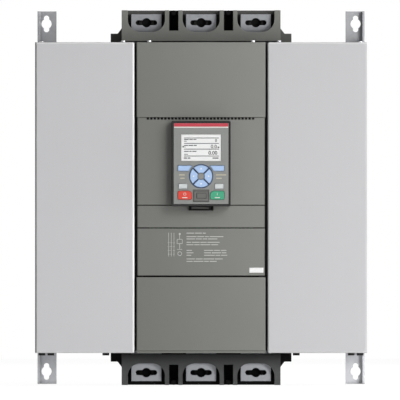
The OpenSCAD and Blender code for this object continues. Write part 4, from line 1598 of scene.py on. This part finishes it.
    def add_key_marks(self) -> None:
        """Adds plain symbols to the keys, in their dishes."""
        depth = front_of("up_key") - self.key_dish
        for angle, key in self.arrow_angles:
            arrow = Marks(depth)
            place = self.around(angle, self.arrow_offset)
            arrow.disc(*place, self.arrow_radius, corners=3, turn=angle)
            arrow.finish(f"{key}_arrow", key, WHITE_INK, "white_key")
        stop = Marks(depth)
        stop.ring(*self.stop_place, *self.stop_ring)
        stop.bar(*self.stop_bar)
        stop.finish("stop_symbol", "stop_key", PALE_INK, "white_key")
        start = Marks(depth)
        start.bar(*self.start_stroke)
        start.bar(*self.start_bar)
        start.finish("start_symbol", "start_key", PALE_INK, "white_key")


# Studio


@dataclass(frozen=True)
class Lamp:
    """One soft lamp aimed at the object."""

    name: str
    place: Triple
    power: float
    size: float

    def build(self, target: Vector) -> None:
        """Makes the lamp and aims it.

        Args:
            target: The point that it lights.
        """
        light = bpy.data.lights.new(self.name, "AREA")
        light.energy = self.power
        light.size = self.size
        holder = show(self.name, light)
        holder.location = self.place
        holder.rotation_euler = (target - holder.location).to_track_quat("-Z", "Y").to_euler()


@dataclass
class Studio:
    """Camera, lamps, white surroundings and floor."""

    distance: float = 25.0
    true_depth: float = 0.17
    view_width: float = 0.526
    aim: Span = (-0.0014, -0.0031)
    bright_side: Triple = (0.75, 0.0, -0.65)
    ambient: Span = (0.15, 0.44)
    shine: Span = (0.15, 1.35)
    floor_size: float = 8.0
    floor_gap: float = 0.1 * MM
    floor_tones: tuple[Colour, Colour] = (screen(240, 240, 240), screen(246, 246, 246))
    floor_clouds: float = 3.0
    floor_roughness: float = 0.8
    floor_glow: float = 1.1
    glow_share: float = 0.85
    lamps: tuple[Lamp, ...] = (
        Lamp("key", (1.4, -2.4, 1.2), 35.0, 1.2),
        Lamp("fill", (0.8, -2.7, -0.05), 11.0, 0.36),
        Lamp("rim", (3.0, -0.85, 0.2), 16.0, 0.8),
        Lamp("top", (0.1, -0.7, 2.4), 3.0, 1.4),
        Lamp("behind", (0.7, 2.4, 1.2), 18.0, 1.6),
    )

    def build(self) -> None:
        """Builds the whole studio."""
        bpy.context.scene.view_settings.view_transform = "Standard"
        self.add_camera()
        self.add_world()
        self.add_floor()
        for lamp in self.lamps:
            lamp.build(Vector((0.0, -self.true_depth, 0.0)))

    def add_camera(self) -> None:
        """Puts a camera with a very long lens straight in front."""
        camera = bpy.data.cameras.new("camera")
        camera.lens = camera.sensor_width * self.distance / self.view_width
        camera.clip_end = 2 * self.distance
        holder = show("camera", camera)
        holder.location = (self.aim[0], -self.true_depth - self.distance, self.aim[1])
        holder.rotation_euler = (math.radians(90), 0.0, 0.0)
        bpy.context.scene.camera = holder

    def add_world(self) -> None:
        """Surrounds the object with soft white light, most of it from its bright side."""
        world = bpy.data.worlds.new("studio")
        world.use_nodes = True
        graph = Graph(world.node_tree)
        rays = graph.add("ShaderNodeLightPath").outputs
        side = graph.ramp(graph.dot(graph.place(), self.bright_side), -1.0, 1.0)
        soft, gloss = (graph.between(side, *limits) for limits in (self.ambient, self.shine))
        level = graph.between(rays["Is Glossy Ray"], soft, gloss)
        seen = graph.math("MAXIMUM", rays["Is Camera Ray"], rays["Is Transmission Ray"])
        background = world.node_tree.nodes["Background"]
        background.inputs["Color"].default_value = (1.0, 1.0, 1.0, 1.0)
        graph.put(background.inputs["Strength"], graph.between(seen, level, 1.0))
        bpy.context.scene.world = world

    def add_floor(self) -> None:
        """Lays a white floor under the object, clear from below, that keeps a soft shadow."""
        bm = bmesh.new()
        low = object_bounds()[0]
        bmesh.ops.create_grid(
            bm, x_segments=1, y_segments=1, size=self.floor_size / 2,
            matrix=Matrix.Translation((0.0, 0.0, low.z - self.floor_gap)),
        )
        floor = show_mesh("floor", bm, self.floor_material())
        floor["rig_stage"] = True

    def floor_material(self) -> bpy.types.Material:
        """Makes the floor's white.

        Returns:
            The material.
        """
        material = bpy.data.materials.new("floor_white")
        material.use_nodes = True
        graph = Graph(material.node_tree)
        shader = material.node_tree.nodes["Principled BSDF"]
        clouds = graph.noise(graph.place(), self.floor_clouds)
        graph.put(shader.inputs["Base Color"], graph.mix(clouds, *self.floor_tones))
        shader.inputs["Roughness"].default_value = self.floor_roughness
        glow = graph.add("ShaderNodeEmission")
        glow.inputs["Strength"].default_value = self.floor_glow
        rays = graph.add("ShaderNodeLightPath").outputs
        seen = graph.math("MAXIMUM", rays["Is Camera Ray"], rays["Is Glossy Ray"])
        behind = graph.add("ShaderNodeNewGeometry").outputs["Backfacing"]
        lit, sided = (graph.add("ShaderNodeMixShader") for _ in range(2))
        clear = graph.add("ShaderNodeBsdfTransparent")
        for node, share, first, second in (
            (lit, graph.math("MULTIPLY", seen, self.glow_share), shader, glow),
            (sided, behind, lit, clear),
        ):
            graph.put(node.inputs[0], share)
            graph.put(node.inputs[1], first.outputs[0])
            graph.put(node.inputs[2], second.outputs[0])
        surface = material.node_tree.nodes["Material Output"].inputs["Surface"]
        graph.put(surface, sided.outputs[0])
        return material


def main() -> None:
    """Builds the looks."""
    logging.basicConfig(level=logging.INFO, format="%(name)s: %(message)s")
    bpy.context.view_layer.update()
    Studio().build()
    for part in (
        MountingFrame(), SideCovers(), Terminals(), PowerStacks(), BypassContactor(),
        FrontColumn(), Keypad(),
    ):
        part.build()


if __name__ == "__main__":
    main()
